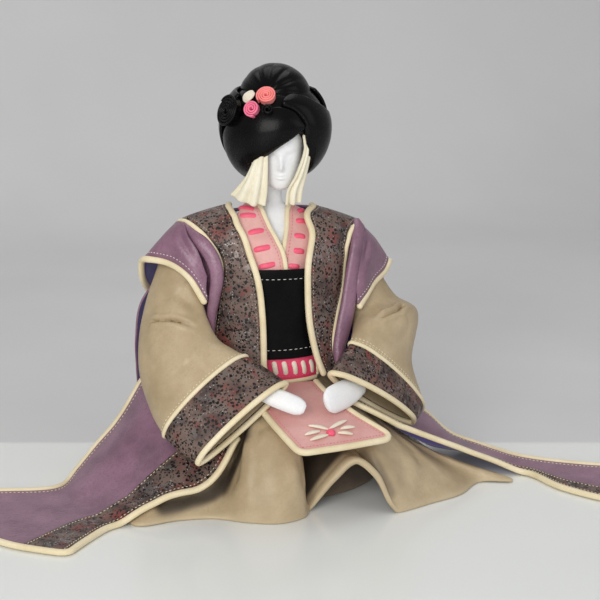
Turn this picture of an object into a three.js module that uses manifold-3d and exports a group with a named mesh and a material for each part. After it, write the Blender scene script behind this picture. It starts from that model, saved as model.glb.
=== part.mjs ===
// Kneeling figure in a layered leather robe, a soft sculpture built over a wooden spine.
// Millimetres, +Z up. The figure faces -Y and the origin is on the floor under the spine.

import * as THREE from "three";
import { mergeVertices } from "three/addons/utils/BufferGeometryUtils.js";
import Module from "manifold-3d";

const wasm = await Module();
wasm.setup();

// Leather, trim and fits
const LEATHER = 2;
const CLEARANCE = 0.3;
const BINDING_RADIUS = 2.6;
const COLLAR_BINDING_RADIUS = 1.8;
const COLLAR_EASE = 0.5;

// Base, seat and spine
const BASE_THICKNESS = 12;
const BASE_HALF_LENGTH = 78;
const BASE_HALF_WIDTH = 68;
const BASE_CENTRE_Y = -8;
const DOWEL_RADIUS = 4;
const DOWEL_SOCKET_DEPTH = 8;
const SEAT_TOP = 74;
const TORSO_JOINT = 150;
const NECK_RADIUS = 8.5;
const NECK_TOP = 262;
const DOWEL_TOP = 280;
const WIRE_RADIUS = 1.6;

// Robe levels
const WAIST_TOP = 86;
const HIP_PANEL_BOTTOM = 92.5;
const OBI_BOTTOM = 111;
const OBI_TOP = 185;
const SHOULDER_Z = 219;
const SHOULDER_SLOPE = 0.055;
const ROBE_NECK_Z = 232.5;
const BAND_SHARE = 0.25;

// Head and hair
const HEAD_CENTRE = new THREE.Vector3(5, -9, 282);
const HEAD_TURN = -12;
const HEAD_BOW = 6;
const HAIR_CENTRE = new THREE.Vector3(4, 2, 301);
const HAIR_HALF_WIDTH = 42;
const HAIR_HALF_DEPTH = 41;
const HAIR_RISE = 38;
const HAIR_DROP = 45;
const HAIR_LEATHER = 3.5;
const HAIR_EASE = 0.5;
const CROWN_CENTRE = new THREE.Vector3(5, 6, 322);
const CROWN_HALF = new THREE.Vector3(31, 34, 30);
const LOCK_LEATHER = 2.4;

// Wound leather rosettes
const ROSETTE_STRIP = 1.1;
const ROSETTE_GAP = 0.7;
const ROSETTE_HEIGHT = 5;
const STEPS_PER_TURN = 12;

const at = (x, y, z) => new THREE.Vector3(x, y, z);
const radians = THREE.MathUtils.degToRad;
const mix = THREE.MathUtils.lerp;
const pointList = (rows) => rows.map((row) => at(...row));

// Solids from closed meshes

function outward(positions, triangles) {
  let volume = 0;
  const [a, b, c] = [at(0, 0, 0), at(0, 0, 0), at(0, 0, 0)];
  for (let i = 0; i < triangles.length; i += 3) {
    a.fromArray(positions, 3 * triangles[i]);
    b.fromArray(positions, 3 * triangles[i + 1]);
    c.fromArray(positions, 3 * triangles[i + 2]);
    volume += a.dot(b.cross(c));
  }
  if (volume < 0) triangles.reverse();
  return triangles;
}

function solidFrom(geometry) {
  const bare = new THREE.BufferGeometry();
  bare.setAttribute("position", geometry.attributes.position);
  if (geometry.index) bare.setIndex(geometry.index);
  const merged = mergeVertices(bare, 1e-3);
  const index = merged.index.array;
  const kept = [];
  for (let i = 0; i < index.length; i += 3) {
    const [a, b, c] = [index[i], index[i + 1], index[i + 2]];
    if (a !== b && b !== c && c !== a) kept.push(a, b, c);
  }
  const vertProperties = Float32Array.from(merged.attributes.position.array);
  const triVerts = Uint32Array.from(outward(vertProperties, kept));
  return new wasm.Manifold(new wasm.Mesh({ numProp: 3, vertProperties, triVerts }));
}

function largestBody(solid) {
  const bodies = solid.decompose();
  return bodies.reduce((best, body) => (body.volume() > best.volume() ? body : best));
}

function meshed(points, triangles) {
  const geometry = new THREE.BufferGeometry();
  geometry.setAttribute("position", new THREE.Float32BufferAttribute(points.flatMap((p) => p.toArray()), 3));
  geometry.setIndex(triangles);
  return solidFrom(geometry);
}

// Smooth rows and surfaces through control points

function smoothRow(row, count, closed = false) {
  const curve = new THREE.CatmullRomCurve3(row, closed, "centripetal");
  return Array.from({ length: closed ? count : count + 1 }, (_, i) => curve.getPoint(i / count));
}

function surfaceThrough(rows, across, along, closed = false) {
  const fine = rows.map((row) => smoothRow(row, across, closed));
  const columns = fine[0].map((_, c) => smoothRow(fine.map((row) => row[c]), along));
  return columns[0].map((_, r) => columns.map((column) => column[r]));
}

function gridNormals(grid, closed) {
  const last = grid.length - 1;
  const wide = grid[0].length;
  const near = (c) => (closed ? (c + wide) % wide : THREE.MathUtils.clamp(c, 0, wide - 1));
  return grid.map((row, r) => row.map((_, c) => {
    const across = row[near(c + 1)].clone().sub(row[near(c - 1)]);
    const along = grid[Math.min(r + 1, last)][c].clone().sub(grid[Math.max(r - 1, 0)][c]);
    return across.cross(along).normalize();
  }));
}

function pushedOut(edge, inner, distance) {
  return edge.clone().add(edge.clone().sub(inner).setLength(distance));
}

// The grid with its free edges moved outwards in the sheet by a distance
function widened(grid, distance, closed) {
  if (distance === 0) return grid;
  const rows = grid.map((row) => {
    if (closed) return row;
    const wide = row.map((p) => p);
    wide[0] = pushedOut(row[0], row[1], distance);
    wide[row.length - 1] = pushedOut(row.at(-1), row.at(-2), distance);
    return wide;
  });
  const first = rows[0].map((p, c) => pushedOut(p, rows[1][c], distance));
  const last = rows.at(-1).map((p, c) => pushedOut(p, rows.at(-2)[c], distance));
  return [first, ...rows.slice(1, -1), last];
}

// A closed sheet of leather about a middle surface; closed joins the last column to the first
function sheet(grid, thickness, { closed = false, grow = 0 } = {}) {
  const wide = widened(grid, grow, closed);
  const normals = gridNormals(wide, closed);
  const half = thickness / 2 + grow;
  const rows = wide.length;
  const columns = wide[0].length;
  const points = [1, -1].flatMap((side) => wide.flatMap((row, r) => row.map((p, c) => (
    p.clone().addScaledVector(normals[r][c], side * half)))));
  const id = (side, r, c) => side * rows * columns + r * columns + (c % columns);
  const triangles = [];
  const quad = (a, b, c, d) => triangles.push(a, b, c, a, c, d);
  const spans = closed ? columns : columns - 1;
  for (let r = 0; r < rows - 1; r += 1) {
    for (let c = 0; c < spans; c += 1) {
      quad(id(0, r, c), id(0, r, c + 1), id(0, r + 1, c + 1), id(0, r + 1, c));
      quad(id(1, r, c), id(1, r + 1, c), id(1, r + 1, c + 1), id(1, r, c + 1));
    }
    if (!closed) {
      quad(id(0, r, 0), id(0, r + 1, 0), id(1, r + 1, 0), id(1, r, 0));
      quad(id(0, r + 1, spans), id(0, r, spans), id(1, r, spans), id(1, r + 1, spans));
    }
  }
  for (let c = 0; c < spans; c += 1) {
    quad(id(0, 0, c + 1), id(0, 0, c), id(1, 0, c), id(1, 0, c + 1));
    quad(id(0, rows - 1, c), id(0, rows - 1, c + 1), id(1, rows - 1, c + 1), id(1, rows - 1, c));
  }
  return meshed(points, triangles);
}

// A solid through closed rings, capped flat at both ends
function loft(rings) {
  const wide = rings[0].length;
  const points = rings.flat();
  const middle = (ring) => ring.reduce((sum, p) => sum.add(p), at(0, 0, 0)).divideScalar(wide);
  points.push(middle(rings[0]), middle(rings.at(-1)));
  const foot = points.length - 2;
  const top = (rings.length - 1) * wide;
  const triangles = [];
  for (let c = 0; c < wide; c += 1) {
    const next = (c + 1) % wide;
    for (let r = 0; r < rings.length - 1; r += 1) {
      const [low, high] = [r * wide, (r + 1) * wide];
      triangles.push(low + c, low + next, high + next, low + c, high + next, high + c);
    }
    triangles.push(foot, next, c, foot + 1, top + c, top + next);
  }
  return meshed(points, triangles);
}

function ellipseRing(centre, first, second, count) {
  return Array.from({ length: count }, (_, i) => {
    const angle = (2 * Math.PI * i) / count;
    return centre.clone().addScaledVector(first, Math.cos(angle)).addScaledVector(second, Math.sin(angle));
  });
}

// A curve whose even steps land on its control points, so a binding keeps to the edge it follows
class EdgeCurve extends THREE.CatmullRomCurve3 {
  getUtoTmapping(u) {
    return u;
  }
}

function tube(path, radius, { sides = 6, grow = 0 } = {}) {
  const ends = grow === 0 ? [path[0], path.at(-1)]
    : [pushedOut(path[0], path[1], grow), pushedOut(path.at(-1), path.at(-2), grow)];
  const curve = new EdgeCurve([ends[0], ...path.slice(1, -1), ends[1]], false, "centripetal");
  const section = new THREE.Shape(Array.from({ length: sides }, (_, i) => {
    const angle = (2 * Math.PI * i) / sides;
    return new THREE.Vector2(Math.cos(angle), Math.sin(angle)).multiplyScalar(radius + grow);
  }));
  return solidFrom(new THREE.ExtrudeGeometry(section, { steps: path.length - 1, extrudePath: curve }));
}

function ringTube(path, radius, { sides = 6, grow = 0 } = {}) {
  const curve = new EdgeCurve(path, true, "centripetal");
  return solidFrom(new THREE.TubeGeometry(curve, path.length, radius + grow, sides, true));
}

function upright(radius, bottom, top, segments = 20) {
  const geometry = new THREE.CylinderGeometry(radius, radius, top - bottom, segments);
  return solidFrom(geometry.rotateX(Math.PI / 2).translate(0, 0, (top + bottom) / 2));
}

function ellipsoid(centre, half, across = 24, rows = 16) {
  const geometry = new THREE.SphereGeometry(1, across, rows).rotateX(Math.PI / 2);
  return solidFrom(geometry.scale(half.x, half.y, half.z).translate(centre.x, centre.y, centre.z));
}

function box(centre, size) {
  const geometry = new THREE.BoxGeometry(size.x, size.y, size.z);
  return solidFrom(geometry.translate(centre.x, centre.y, centre.z));
}

// Assembly: each new piece is trimmed to leave the clearance round the pieces already there

const figure = new THREE.Group();
const headGroup = new THREE.Group();
figure.add(headGroup);
const rooms = [];

function boxesMeet(first, second) {
  const [a, b] = [first.boundingBox(), second.boundingBox()];
  return [0, 1, 2].every((i) => a.min[i] < b.max[i] && b.min[i] < a.max[i]);
}

function finish(color, roughness, metalness = 0) {
  return new THREE.MeshStandardMaterial({ color, roughness, metalness });
}

function place(name, make, material, group = figure) {
  let solid = make(0);
  for (const room of rooms) {
    if (boxesMeet(solid, room)) solid = solid.subtract(room);
  }
  solid = largestBody(solid);
  rooms.push(make(CLEARANCE));
  const { vertProperties, triVerts } = solid.getMesh();
  const geometry = new THREE.BufferGeometry();
  geometry.setAttribute("position", new THREE.Float32BufferAttribute(vertProperties, 3));
  geometry.setIndex(new THREE.Uint32BufferAttribute(triVerts, 1));
  const mesh = new THREE.Mesh(geometry, material.clone());
  mesh.name = name;
  group.add(mesh);
}

const PURPLE = finish("#7d5f7e", 0.5);
const TAN = finish("#b9a684", 0.5);
const CREAM = finish("#e9dcbc", 0.55);
const PINK = finish("#dfa7a3", 0.55);
const HOT_PINK = finish("#e8456f", 0.5);
const FOIL = finish("#5a4a46", 0.4, 0.2);
const BLACK = finish("#141414", 0.35);
const WHITE = finish("#eef0f2", 0.6);
const WOOD = finish("#b98a55", 0.7);
const WIRE = finish("#9a9a9a", 0.35, 1);
const FOAM = finish("#d8cfae", 0.9);
const CORAL = finish("#fb8f8d", 0.5);

// Body forms: half width and half depth of the section at each height

const TORSO = [
  { z: SEAT_TOP, a: 44, b: 38 },
  { z: OBI_BOTTOM, a: 42, b: 36 },
  { z: TORSO_JOINT, a: 40, b: 34 },
  { z: OBI_TOP, a: 42, b: 34.5 },
  { z: 205, a: 49, b: 30 },
  { z: 215, a: 51, b: 22.5 },
  { z: 224, a: 36, b: 16 },
  { z: 231, a: 18, b: 12 },
  { z: 236, a: NECK_RADIUS + 1, b: NECK_RADIUS + 1 },
  { z: 241, a: NECK_RADIUS, b: NECK_RADIUS },
  { z: NECK_TOP, a: NECK_RADIUS, b: NECK_RADIUS },
];

const ROBE = [
  { z: 90, a: 70, b: 60 },
  { z: OBI_BOTTOM, a: 63, b: 51 },
  { z: TORSO_JOINT, a: 62, b: 46.5 },
  { z: OBI_TOP, a: 64, b: 44.5 },
  { z: 200, a: 73, b: 39 },
  { z: 210, a: 80, b: 34 },
  { z: SHOULDER_Z, a: 77, b: 29 },
  { z: 227, a: 56, b: 24 },
  { z: ROBE_NECK_Z, a: 36, b: 19 },
];

// Cubic through the stations, with each slope taken from the neighbouring stations
function sectionAt(stations, z) {
  const last = stations.length - 2;
  const i = THREE.MathUtils.clamp(stations.findIndex((s) => s.z > z) - 1, 0, last);
  const k = stations.at(-1).z <= z ? last : i;
  const [p, q] = [stations[k], stations[k + 1]];
  const span = q.z - p.z;
  const t = (z - p.z) / span;
  const slope = (s, key) => {
    const before = stations[Math.max(s - 1, 0)];
    const after = stations[Math.min(s + 1, stations.length - 1)];
    return ((after[key] - before[key]) / (after.z - before.z)) * span;
  };
  const value = (key) => {
    const [h1, h2] = [t * t * (3 - 2 * t), t * (1 - t)];
    return mix(p[key], q[key], h1) + slope(k, key) * h2 * (1 - t) - slope(k + 1, key) * h2 * t;
  };
  return { a: value("a"), b: value("b") };
}

function bodyPoint(stations, angle, z) {
  const { a, b } = sectionAt(stations, z);
  const x = a * Math.sin(radians(angle));
  const lean = SHOULDER_SLOPE * x * THREE.MathUtils.smoothstep(z, TORSO_JOINT, SHOULDER_Z);
  return at(x, -b * Math.cos(radians(angle)), z - lean);
}

// A point on the body, moved off it along its normal; the angle is from the front, + to +X
function onBody(stations, angle, z, offset = 0) {
  const small = 0.5;
  const around = bodyPoint(stations, angle + small, z).sub(bodyPoint(stations, angle - small, z));
  const up = bodyPoint(stations, angle, z + small).sub(bodyPoint(stations, angle, z - small));
  return bodyPoint(stations, angle, z).addScaledVector(around.cross(up).normalize(), offset);
}

const layer = (n) => CLEARANCE + LEATHER / 2 + n * (LEATHER + CLEARANCE);

// A grid between two edges: each row gives two numbers at the first edge and two at the second
function edgeGrid(rows, across, along, locate) {
  const first = smoothRow(rows.map((row) => at(row[0], row[1], 0)), along);
  const second = smoothRow(rows.map((row) => at(row[2], row[3], 0)), along);
  return first.map((p, r) => Array.from({ length: across + 1 }, (_, i) => {
    const { x, y } = p.clone().lerp(second[r], i / across);
    return locate(x, y);
  }));
}

// A patch of the body between two edges, each row [angle, z] at the first and the second edge
function bodyPatch(stations, rows, offset, across, along) {
  return edgeGrid(rows, across, along, (angle, z) => onBody(stations, angle, z, offset));
}

function bodyLoft(stations, levels, grow, count = 20) {
  return loft(levels.map((z) => {
    const ring = (i) => bodyPoint(stations, (-360 * i) / count, z);
    const { a, b } = sectionAt(stations, z);
    const spread = at((a + grow) / a, (b + grow) / b, 1);
    return Array.from({ length: count }, (_, i) => ring(i).multiply(spread));
  }));
}

// An edge moved out from the row beside it, square to its own run
function edgeOut(edge, inner, distance, closed = false) {
  const wide = edge.length;
  const near = (i) => (closed ? (i + wide) % wide : THREE.MathUtils.clamp(i, 0, wide - 1));
  return edge.map((p, i) => {
    const run = edge[near(i + 1)].clone().sub(edge[near(i - 1)]);
    const out = p.clone().sub(inner[i]);
    out.addScaledVector(run, -out.dot(run) / run.lengthSq());
    return p.clone().add(out.setLength(distance));
  });
}

function columnEdge(grid, first, distance) {
  const [edge, inner] = first ? [0, 1] : [-1, -2];
  return edgeOut(grid.map((row) => row.at(edge)), grid.map((row) => row.at(inner)), distance);
}

function rowEdge(grid, first, distance, closed = false) {
  const [edge, inner] = first ? [grid[0], grid[1]] : [grid.at(-1), grid.at(-2)];
  return edgeOut(edge, inner, distance, closed);
}

const seamOut = BINDING_RADIUS + 2 * CLEARANCE;
const collarSeamOut = COLLAR_BINDING_RADIUS + 2 * CLEARANCE;

// The path of a binding down the first column, along the last row and back up the last column
function skirtingPath(grid, distance) {
  const [down, over] = [columnEdge(grid, true, distance), rowEdge(grid, false, distance)];
  const up = columnEdge(grid, false, distance).reverse();
  const corner = (a, b, p) => a.clone().add(b).sub(p);
  const near = corner(down.at(-1), over[0], grid.at(-1)[0]);
  const far = corner(over.at(-1), up[0], grid.at(-1).at(-1));
  return [...down.slice(0, -1), near, ...over.slice(1, -1), far, ...up.slice(1)];
}

// Base, seat, torso, spine and arm wires

const dowelBottom = BASE_THICKNESS - DOWEL_SOCKET_DEPTH + CLEARANCE;

place("spine_dowel", (grow) => upright(DOWEL_RADIUS + grow, dowelBottom - grow, DOWEL_TOP + grow), WOOD);

place("base_board", (grow) => {
  const outline = new THREE.Shape().absellipse(
    0, BASE_CENTRE_Y, BASE_HALF_LENGTH + grow, BASE_HALF_WIDTH + grow, 0, 2 * Math.PI);
  const depth = BASE_THICKNESS + grow;
  return solidFrom(new THREE.ExtrudeGeometry(outline, { depth, bevelEnabled: false, curveSegments: 20 }));
}, WOOD);

const seatLevels = [
  [BASE_THICKNESS + CLEARANCE, 72, 56, -8],
  [40, 68, 52, -7],
  [60, 58, 44, -5],
  [SEAT_TOP - CLEARANCE, 46, 39, -3.5],
];
place("seat_block", (grow) => loft(seatLevels.map(([z, a, b, y], i) => ellipseRing(
  at(0, y, z + (i === 0 ? -grow : 0) + (i === seatLevels.length - 1 ? grow : 0)),
  at(a + grow, 0, 0), at(0, b + grow, 0), 28))), FOAM);

place("torso_core", (grow) => bodyLoft(
  TORSO, [SEAT_TOP - grow, OBI_BOTTOM, TORSO_JOINT - CLEARANCE + grow], grow), FOAM);

const bustLevels = [TORSO_JOINT, 168, OBI_TOP, 196, 205, 211, 216, 221, 226, 231, 236, 241, NECK_TOP];
place("bust_form", (grow) => bodyLoft(
  TORSO, bustLevels.map((z) => (z === NECK_TOP ? z + grow : z)), grow), WHITE);

const HANDS = {
  left: { wrist: at(-38.3, -84.8, 100.4), tip: at(0.7, -105.2, 85.4), wide: 0.97, up: at(0.81, 0.13, 0.56) },
  right: { wrist: at(60, -67, 89.8), tip: at(20, -97, 86.4), wide: 1.4, up: at(-0.77, -0.29, 0.58) },
};
const HAND_SECTIONS = [
  [0, 4.6, 3.4], [0.25, 6.8, 4.1], [0.5, 7.8, 4.4], [0.75, 7.7, 4.1], [0.92, 6.2, 3.2], [1, 3.2, 1.7],
];
const WIRE_IN_HAND = 0.42;
const WIRE_ROUTES = {
  left: [
    [-30, 0, 200], [-56, 0, 196], [-76, 0, 185], [-84, -4, 168], [-87, -16, 145], [-86, -28, 124],
    [-79, -48, 111], [-66, -67, 108.5], [-51, -78.4, 106]],
  right: [
    [30, 0, 197], [56, 0, 192], [76, 3, 177], [84, 2, 161], [90, -9, 146], [93, -22, 131],
    [90, -34, 113], [82, -48, 97], [71, -59, 91.2]],
};
for (const [side, route] of Object.entries(WIRE_ROUTES)) {
  const { wrist, tip } = HANDS[side];
  const path = [...pointList(route), wrist, wrist.clone().lerp(tip, WIRE_IN_HAND)];
  place(`arm_wire_${side}`, (grow) => tube(path, WIRE_RADIUS, { grow }), WIRE);
}

// Hands: mitts lofted along the forearm, over the wire ends

function handSolid({ wrist, tip, wide, up }, grow) {
  const axis = tip.clone().sub(wrist);
  const across = up.clone().addScaledVector(axis, -up.dot(axis) / axis.lengthSq()).normalize();
  const through = axis.clone().cross(across).normalize();
  return loft(HAND_SECTIONS.map(([t, width, thick]) => ellipseRing(
    wrist.clone().addScaledVector(axis, t), across.clone().multiplyScalar(width * wide + grow),
    through.clone().multiplyScalar(thick + grow), 14)));
}
for (const [side, hand] of Object.entries(HANDS)) {
  place(`hand_${side}`, (grow) => handSolid(hand, grow), WHITE);
}

// Skirt: each hem point is [x, y, lift, crown], the crown from a straight cone, 0, to a dome, 1

const HEM_Z = 1.5;
const HEM = [
  [3, -110, 0, -0.3], [22, -113, 25, -0.6], [40, -118, 41, -0.8], [55, -124, 30, -0.2], [71, -132, 0, 0.65],
  [104, -119, 0, 0.4], [134, -106, 0, 0.12], [160, -82, 0, -0.2], [187, -88, 0, -0.45], [156, -30, 0, -0.4],
  [133, 35, 0, 0.3], [75, 85, 0, 0.8], [0, 98, 0, 0.8], [-75, 85, 0, 0.8], [-130, 35, 0, 0.6],
  [-142, -35, 0, 0.4], [-138, -107, 0, 0], [-103, -104, 0, 0.05], [-76, -107, 0, -0.25],
  [-50, -123, 0, 0.95], [-27, -131, 0, 1], [-6, -124, 0, 1],
];
const hemPoints = HEM.map(([x, y, lift]) => at(x, y, HEM_Z + lift));
const hemLine = new THREE.CatmullRomCurve3(hemPoints, true, "centripetal");

function waistPoint(angle, z, reach) {
  const { a, b } = sectionAt(TORSO, z);
  return at((a + reach) * Math.sin(angle), -(b + reach) * Math.cos(angle), z);
}

function gownPoint(top, foot, s, crown) {
  const out = mix(s, Math.sin((Math.PI * s) / 2), crown);
  const down = mix(s, 1 - Math.cos((Math.PI * s) / 2), crown);
  return at(mix(top.x, foot.x, out), mix(top.y, foot.y, out), mix(top.z, foot.z, down));
}

function skirtPoint(t, s) {
  const hem = hemLine.getPoint(t);
  hem.z = Math.max(hem.z, HEM_Z);
  const stretch = t * HEM.length;
  const [from, to] = [HEM[Math.floor(stretch) % HEM.length], HEM[(Math.floor(stretch) + 1) % HEM.length]];
  const crown = mix(from[3], to[3], THREE.MathUtils.smoothstep(stretch % 1, 0, 1));
  const waist = waistPoint(Math.atan2(hem.x, -hem.y), WAIST_TOP, layer(0) + LEATHER / 2);
  return gownPoint(waist, hem, s, crown);
}

function skirtGrid(around, down) {
  return Array.from({ length: down + 1 }, (_, r) => (
    Array.from({ length: around }, (__, c) => skirtPoint(c / around, r / down))));
}

// Height of the middle of a sheet that lies on the skirt, or on the floor beside it
const STEEPEST = 0.4;
const LYING_REACH = 5;
const floorLie = BINDING_RADIUS + CLEARANCE;
const skirtSamples = (() => {
  const grid = skirtGrid(160, 30);
  const normals = gridNormals(grid, true).flat();
  return grid.flat().map(({ x, y, z }, i) => {
    const level = Math.max(Math.abs(normals[i].z), STEEPEST);
    return { x, y, z: z + (LEATHER + 3 * CLEARANCE) / level };
  });
})();
function restingHeight(x, y) {
  const under = skirtSamples.filter((p) => Math.hypot(p.x - x, p.y - y) < LYING_REACH);
  return under.reduce((height, p) => Math.max(height, p.z), floorLie);
}

// Trains: rows of [x, y, least height] from the front edge to the outer edge, robe side first
const TRAIN_ROWS = {
  left: [
    [[-52, -81, 60], [-82, -52, 66], [-101, -8, 76], [-105, 29, 84]],
    [[-72, -91, 32], [-104, -56, 40], [-125, -12, 48], [-129, 26, 46]],
    [[-95, -97, 17], [-126, -62, 22], [-146, -18, 27], [-149, 24, 25]],
    [[-127, -100, 16], [-149, -69, 12], [-166, -28, 12], [-166, 13, 11]],
    [[-160, -106, 0], [-181, -79, 0], [-193, -45, 0], [-190, -13, 0]],
    [[-182, -128, 0], [-206, -95, 0], [-226, -58, 0], [-238, -8, 0]],
    [[-201, -152, 0], [-240, -122, 0], [-279, -60, 0], [-318, 6, 0]],
  ],
  right: [
    [[54, -64, 77], [77, -42, 66], [99, -5, 70], [104, 29, 80]],
    [[71, -69, 69], [94, -48, 44], [118, -10, 42], [124, 28, 44]],
    [[93, -70, 57], [122, -52, 28], [143, -15, 26], [147, 24, 32]],
    [[147, -67, 29], [154, -47, 18], [164, -18, 14], [167, 12, 13]],
    [[182, -64, 12], [184, -48, 9], [187, -25, 6], [192, -2, 4]],
    [[209, -75, 0], [211, -62, 0], [213, -50, 0], [214, -37, 0]],
    [[224, -118, 0], [234, -100, 0], [244, -82, 0], [254, -68, 0]],
    [[278, -190, 0], [299, -161, 0], [320, -134, 0], [340, -108, 0]],
  ],
};

const TRAIN_SETTLE = { left: 0, right: 1.1 };

// The train's middle surface, lifted wherever the skirt or the floor holds it up
function trainSurface(rows, settle) {
  const surface = surfaceThrough(rows.map(pointList), 12, 14);
  const lying = (x, y) => Math.max(floorLie, restingHeight(x, y) - settle);
  return surface.map((row) => row.map(({ x, y, z }) => at(x, y, Math.max(z, lying(x, y)))));
}

// The part of each row between two shares of its length
function shareOf(grid, from, to, across) {
  return grid.map((row) => {
    const curve = new THREE.CatmullRomCurve3(row, false, "centripetal");
    return Array.from({ length: across + 1 }, (_, i) => curve.getPoint(mix(from, to, i / across)));
  });
}

for (const [side, rows] of Object.entries(TRAIN_ROWS)) {
  const whole = trainSurface(rows, TRAIN_SETTLE[side]);
  const band = shareOf(whole, 0, BAND_SHARE, 3);
  const field = shareOf(whole, BAND_SHARE + 0.006, 1, 6);
  place(`train_band_${side}`, (grow) => sheet(band, LEATHER, { grow }), FOIL);
  place(`train_${side}`, (grow) => sheet(field, LEATHER, { grow }), PURPLE);
  const path = skirtingPath(shareOf(whole, 0, 1, 6), seamOut);
  place(`train_binding_${side}`, (grow) => tube(path, BINDING_RADIUS, { grow }), CREAM);
}

// Apron over the lap, with its binding and leather flower

const APRON_ROWS = pointList([
  [-38, -45, 88.4], [-7, -45, 88.6], [24, -43, 88.6],
  [-30, -70, 85], [-1, -66, 86], [27, -63, 85],
  [-21, -100, 73], [11, -94, 74.5], [44, -86, 72.5],
  [-10, -133, 60.5], [28, -125, 60], [68, -114, 59.5],
]);
const apronGrid = surfaceThrough([0, 3, 6, 9].map((i) => APRON_ROWS.slice(i, i + 3)), 5, 8);
place("apron", (grow) => sheet(apronGrid, LEATHER, { grow }), PINK);
place("apron_binding", (grow) => tube(skirtingPath(apronGrid, seamOut), BINDING_RADIUS, { grow }), CREAM);

const PETAL_HALF = at(8, 2.4, 1);
const PETAL_ANGLES = [58, 4, -36, -100, -146, 176];
const FLOWER_CELL = [7, 2];
const FLOWER_SHIFT = 5.5;
const flowerFrame = (() => {
  const [row, column] = FLOWER_CELL;
  const here = apronGrid[row][column].clone();
  const side = apronGrid[row][column + 1].clone().sub(here).normalize();
  const front = apronGrid[row + 1][column].clone().sub(here);
  const normal = front.cross(side).normalize();
  const lift = LEATHER / 2 + CLEARANCE + PETAL_HALF.z;
  const spot = here.addScaledVector(normal, lift).addScaledVector(side, FLOWER_SHIFT);
  return new THREE.Matrix4().makeBasis(side, normal.clone().cross(side), normal).setPosition(spot);
})();
function petal(angle, grow) {
  const geometry = new THREE.SphereGeometry(1, 6, 4);
  geometry.scale(PETAL_HALF.x + grow, PETAL_HALF.y + grow, PETAL_HALF.z + grow);
  geometry.translate(PETAL_HALF.x + 1, 0, 0).rotateZ(radians(angle));
  return solidFrom(geometry.applyMatrix4(flowerFrame));
}
function flowerDisc(radius, bottom, top) {
  const geometry = new THREE.CylinderGeometry(radius, radius, top - bottom, 12);
  geometry.rotateX(Math.PI / 2).translate(0, 0, (top + bottom) / 2);
  return solidFrom(geometry.applyMatrix4(flowerFrame));
}
const KNOT_RADIUS = 3;
place("apron_flower", (grow) => PETAL_ANGLES.reduce(
  (flower, angle) => flower.add(petal(angle, grow)),
  flowerDisc(KNOT_RADIUS + grow, -PETAL_HALF.z - grow, PETAL_HALF.z + grow)), CREAM);
place("apron_flower_knot", (grow) => flowerDisc(
  KNOT_RADIUS + grow, PETAL_HALF.z + CLEARANCE - grow, PETAL_HALF.z + CLEARANCE + 2 + grow), HOT_PINK);

// Under-collars, obi and hip panel: layers on the torso

const COLLARS = {
  right: { level: 0, rows: [
    [80, 233, 100, 231], [58, 231.5, 84, 229.5], [24, 227, 58, 225.5], [13.4, 220, 49, 219],
    [7.4, 209, 42, 209], [4.4, 200, 37, 199], [0, 180, 34, 180]] },
  left: { level: 1, rows: [
    [-68, 233, -96, 231], [-48, 230.5, -80, 229], [-25, 226, -58, 225], [-14, 218.5, -48, 218],
    [-7.7, 207.5, -41, 208], [-2.6, 197.5, -36, 197], [0.3, 180, -34, 180]] },
};
for (const [side, { level, rows }] of Object.entries(COLLARS)) {
  const grid = bodyPatch(TORSO, rows, layer(level) + COLLAR_EASE * (level + 1), 5, 10);
  place(`collar_${side}`, (grow) => sheet(grid, LEATHER, { grow }), PINK);
  const edge = columnEdge(grid, true, collarSeamOut);
  place(`collar_binding_${side}`, (grow) => tube(edge, COLLAR_BINDING_RADIUS, { grow }), CREAM);
}

const obiOffset = layer(1) + 2 * COLLAR_EASE + COLLAR_BINDING_RADIUS + LEATHER / 2 + CLEARANCE;
const OBI_LEVELS = [OBI_TOP, 168, TORSO_JOINT, 130, OBI_BOTTOM];
const obiGrid = OBI_LEVELS.map((z) => (
  Array.from({ length: 26 }, (_, i) => onBody(TORSO, (360 * i) / 26, z, obiOffset))));
place("obi", (grow) => sheet(obiGrid, LEATHER, { closed: true, grow }), BLACK);

const hipRows = [OBI_BOTTOM + 8, OBI_BOTTOM, HIP_PANEL_BOTTOM].map((z) => [-42, z, 38, z]);
const hipGrid = bodyPatch(TORSO, hipRows, obiOffset - LEATHER - 3 * CLEARANCE, 8, 3);
place("hip_panel", (grow) => sheet(hipGrid, LEATHER, { grow }), HOT_PINK);
const hipEdge = rowEdge(hipGrid, false, collarSeamOut);
place("hip_panel_binding", (grow) => tube(hipEdge, COLLAR_BINDING_RADIUS, { grow }), CREAM);

// Lapels, their bindings and the plain front panels beside them

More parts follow.
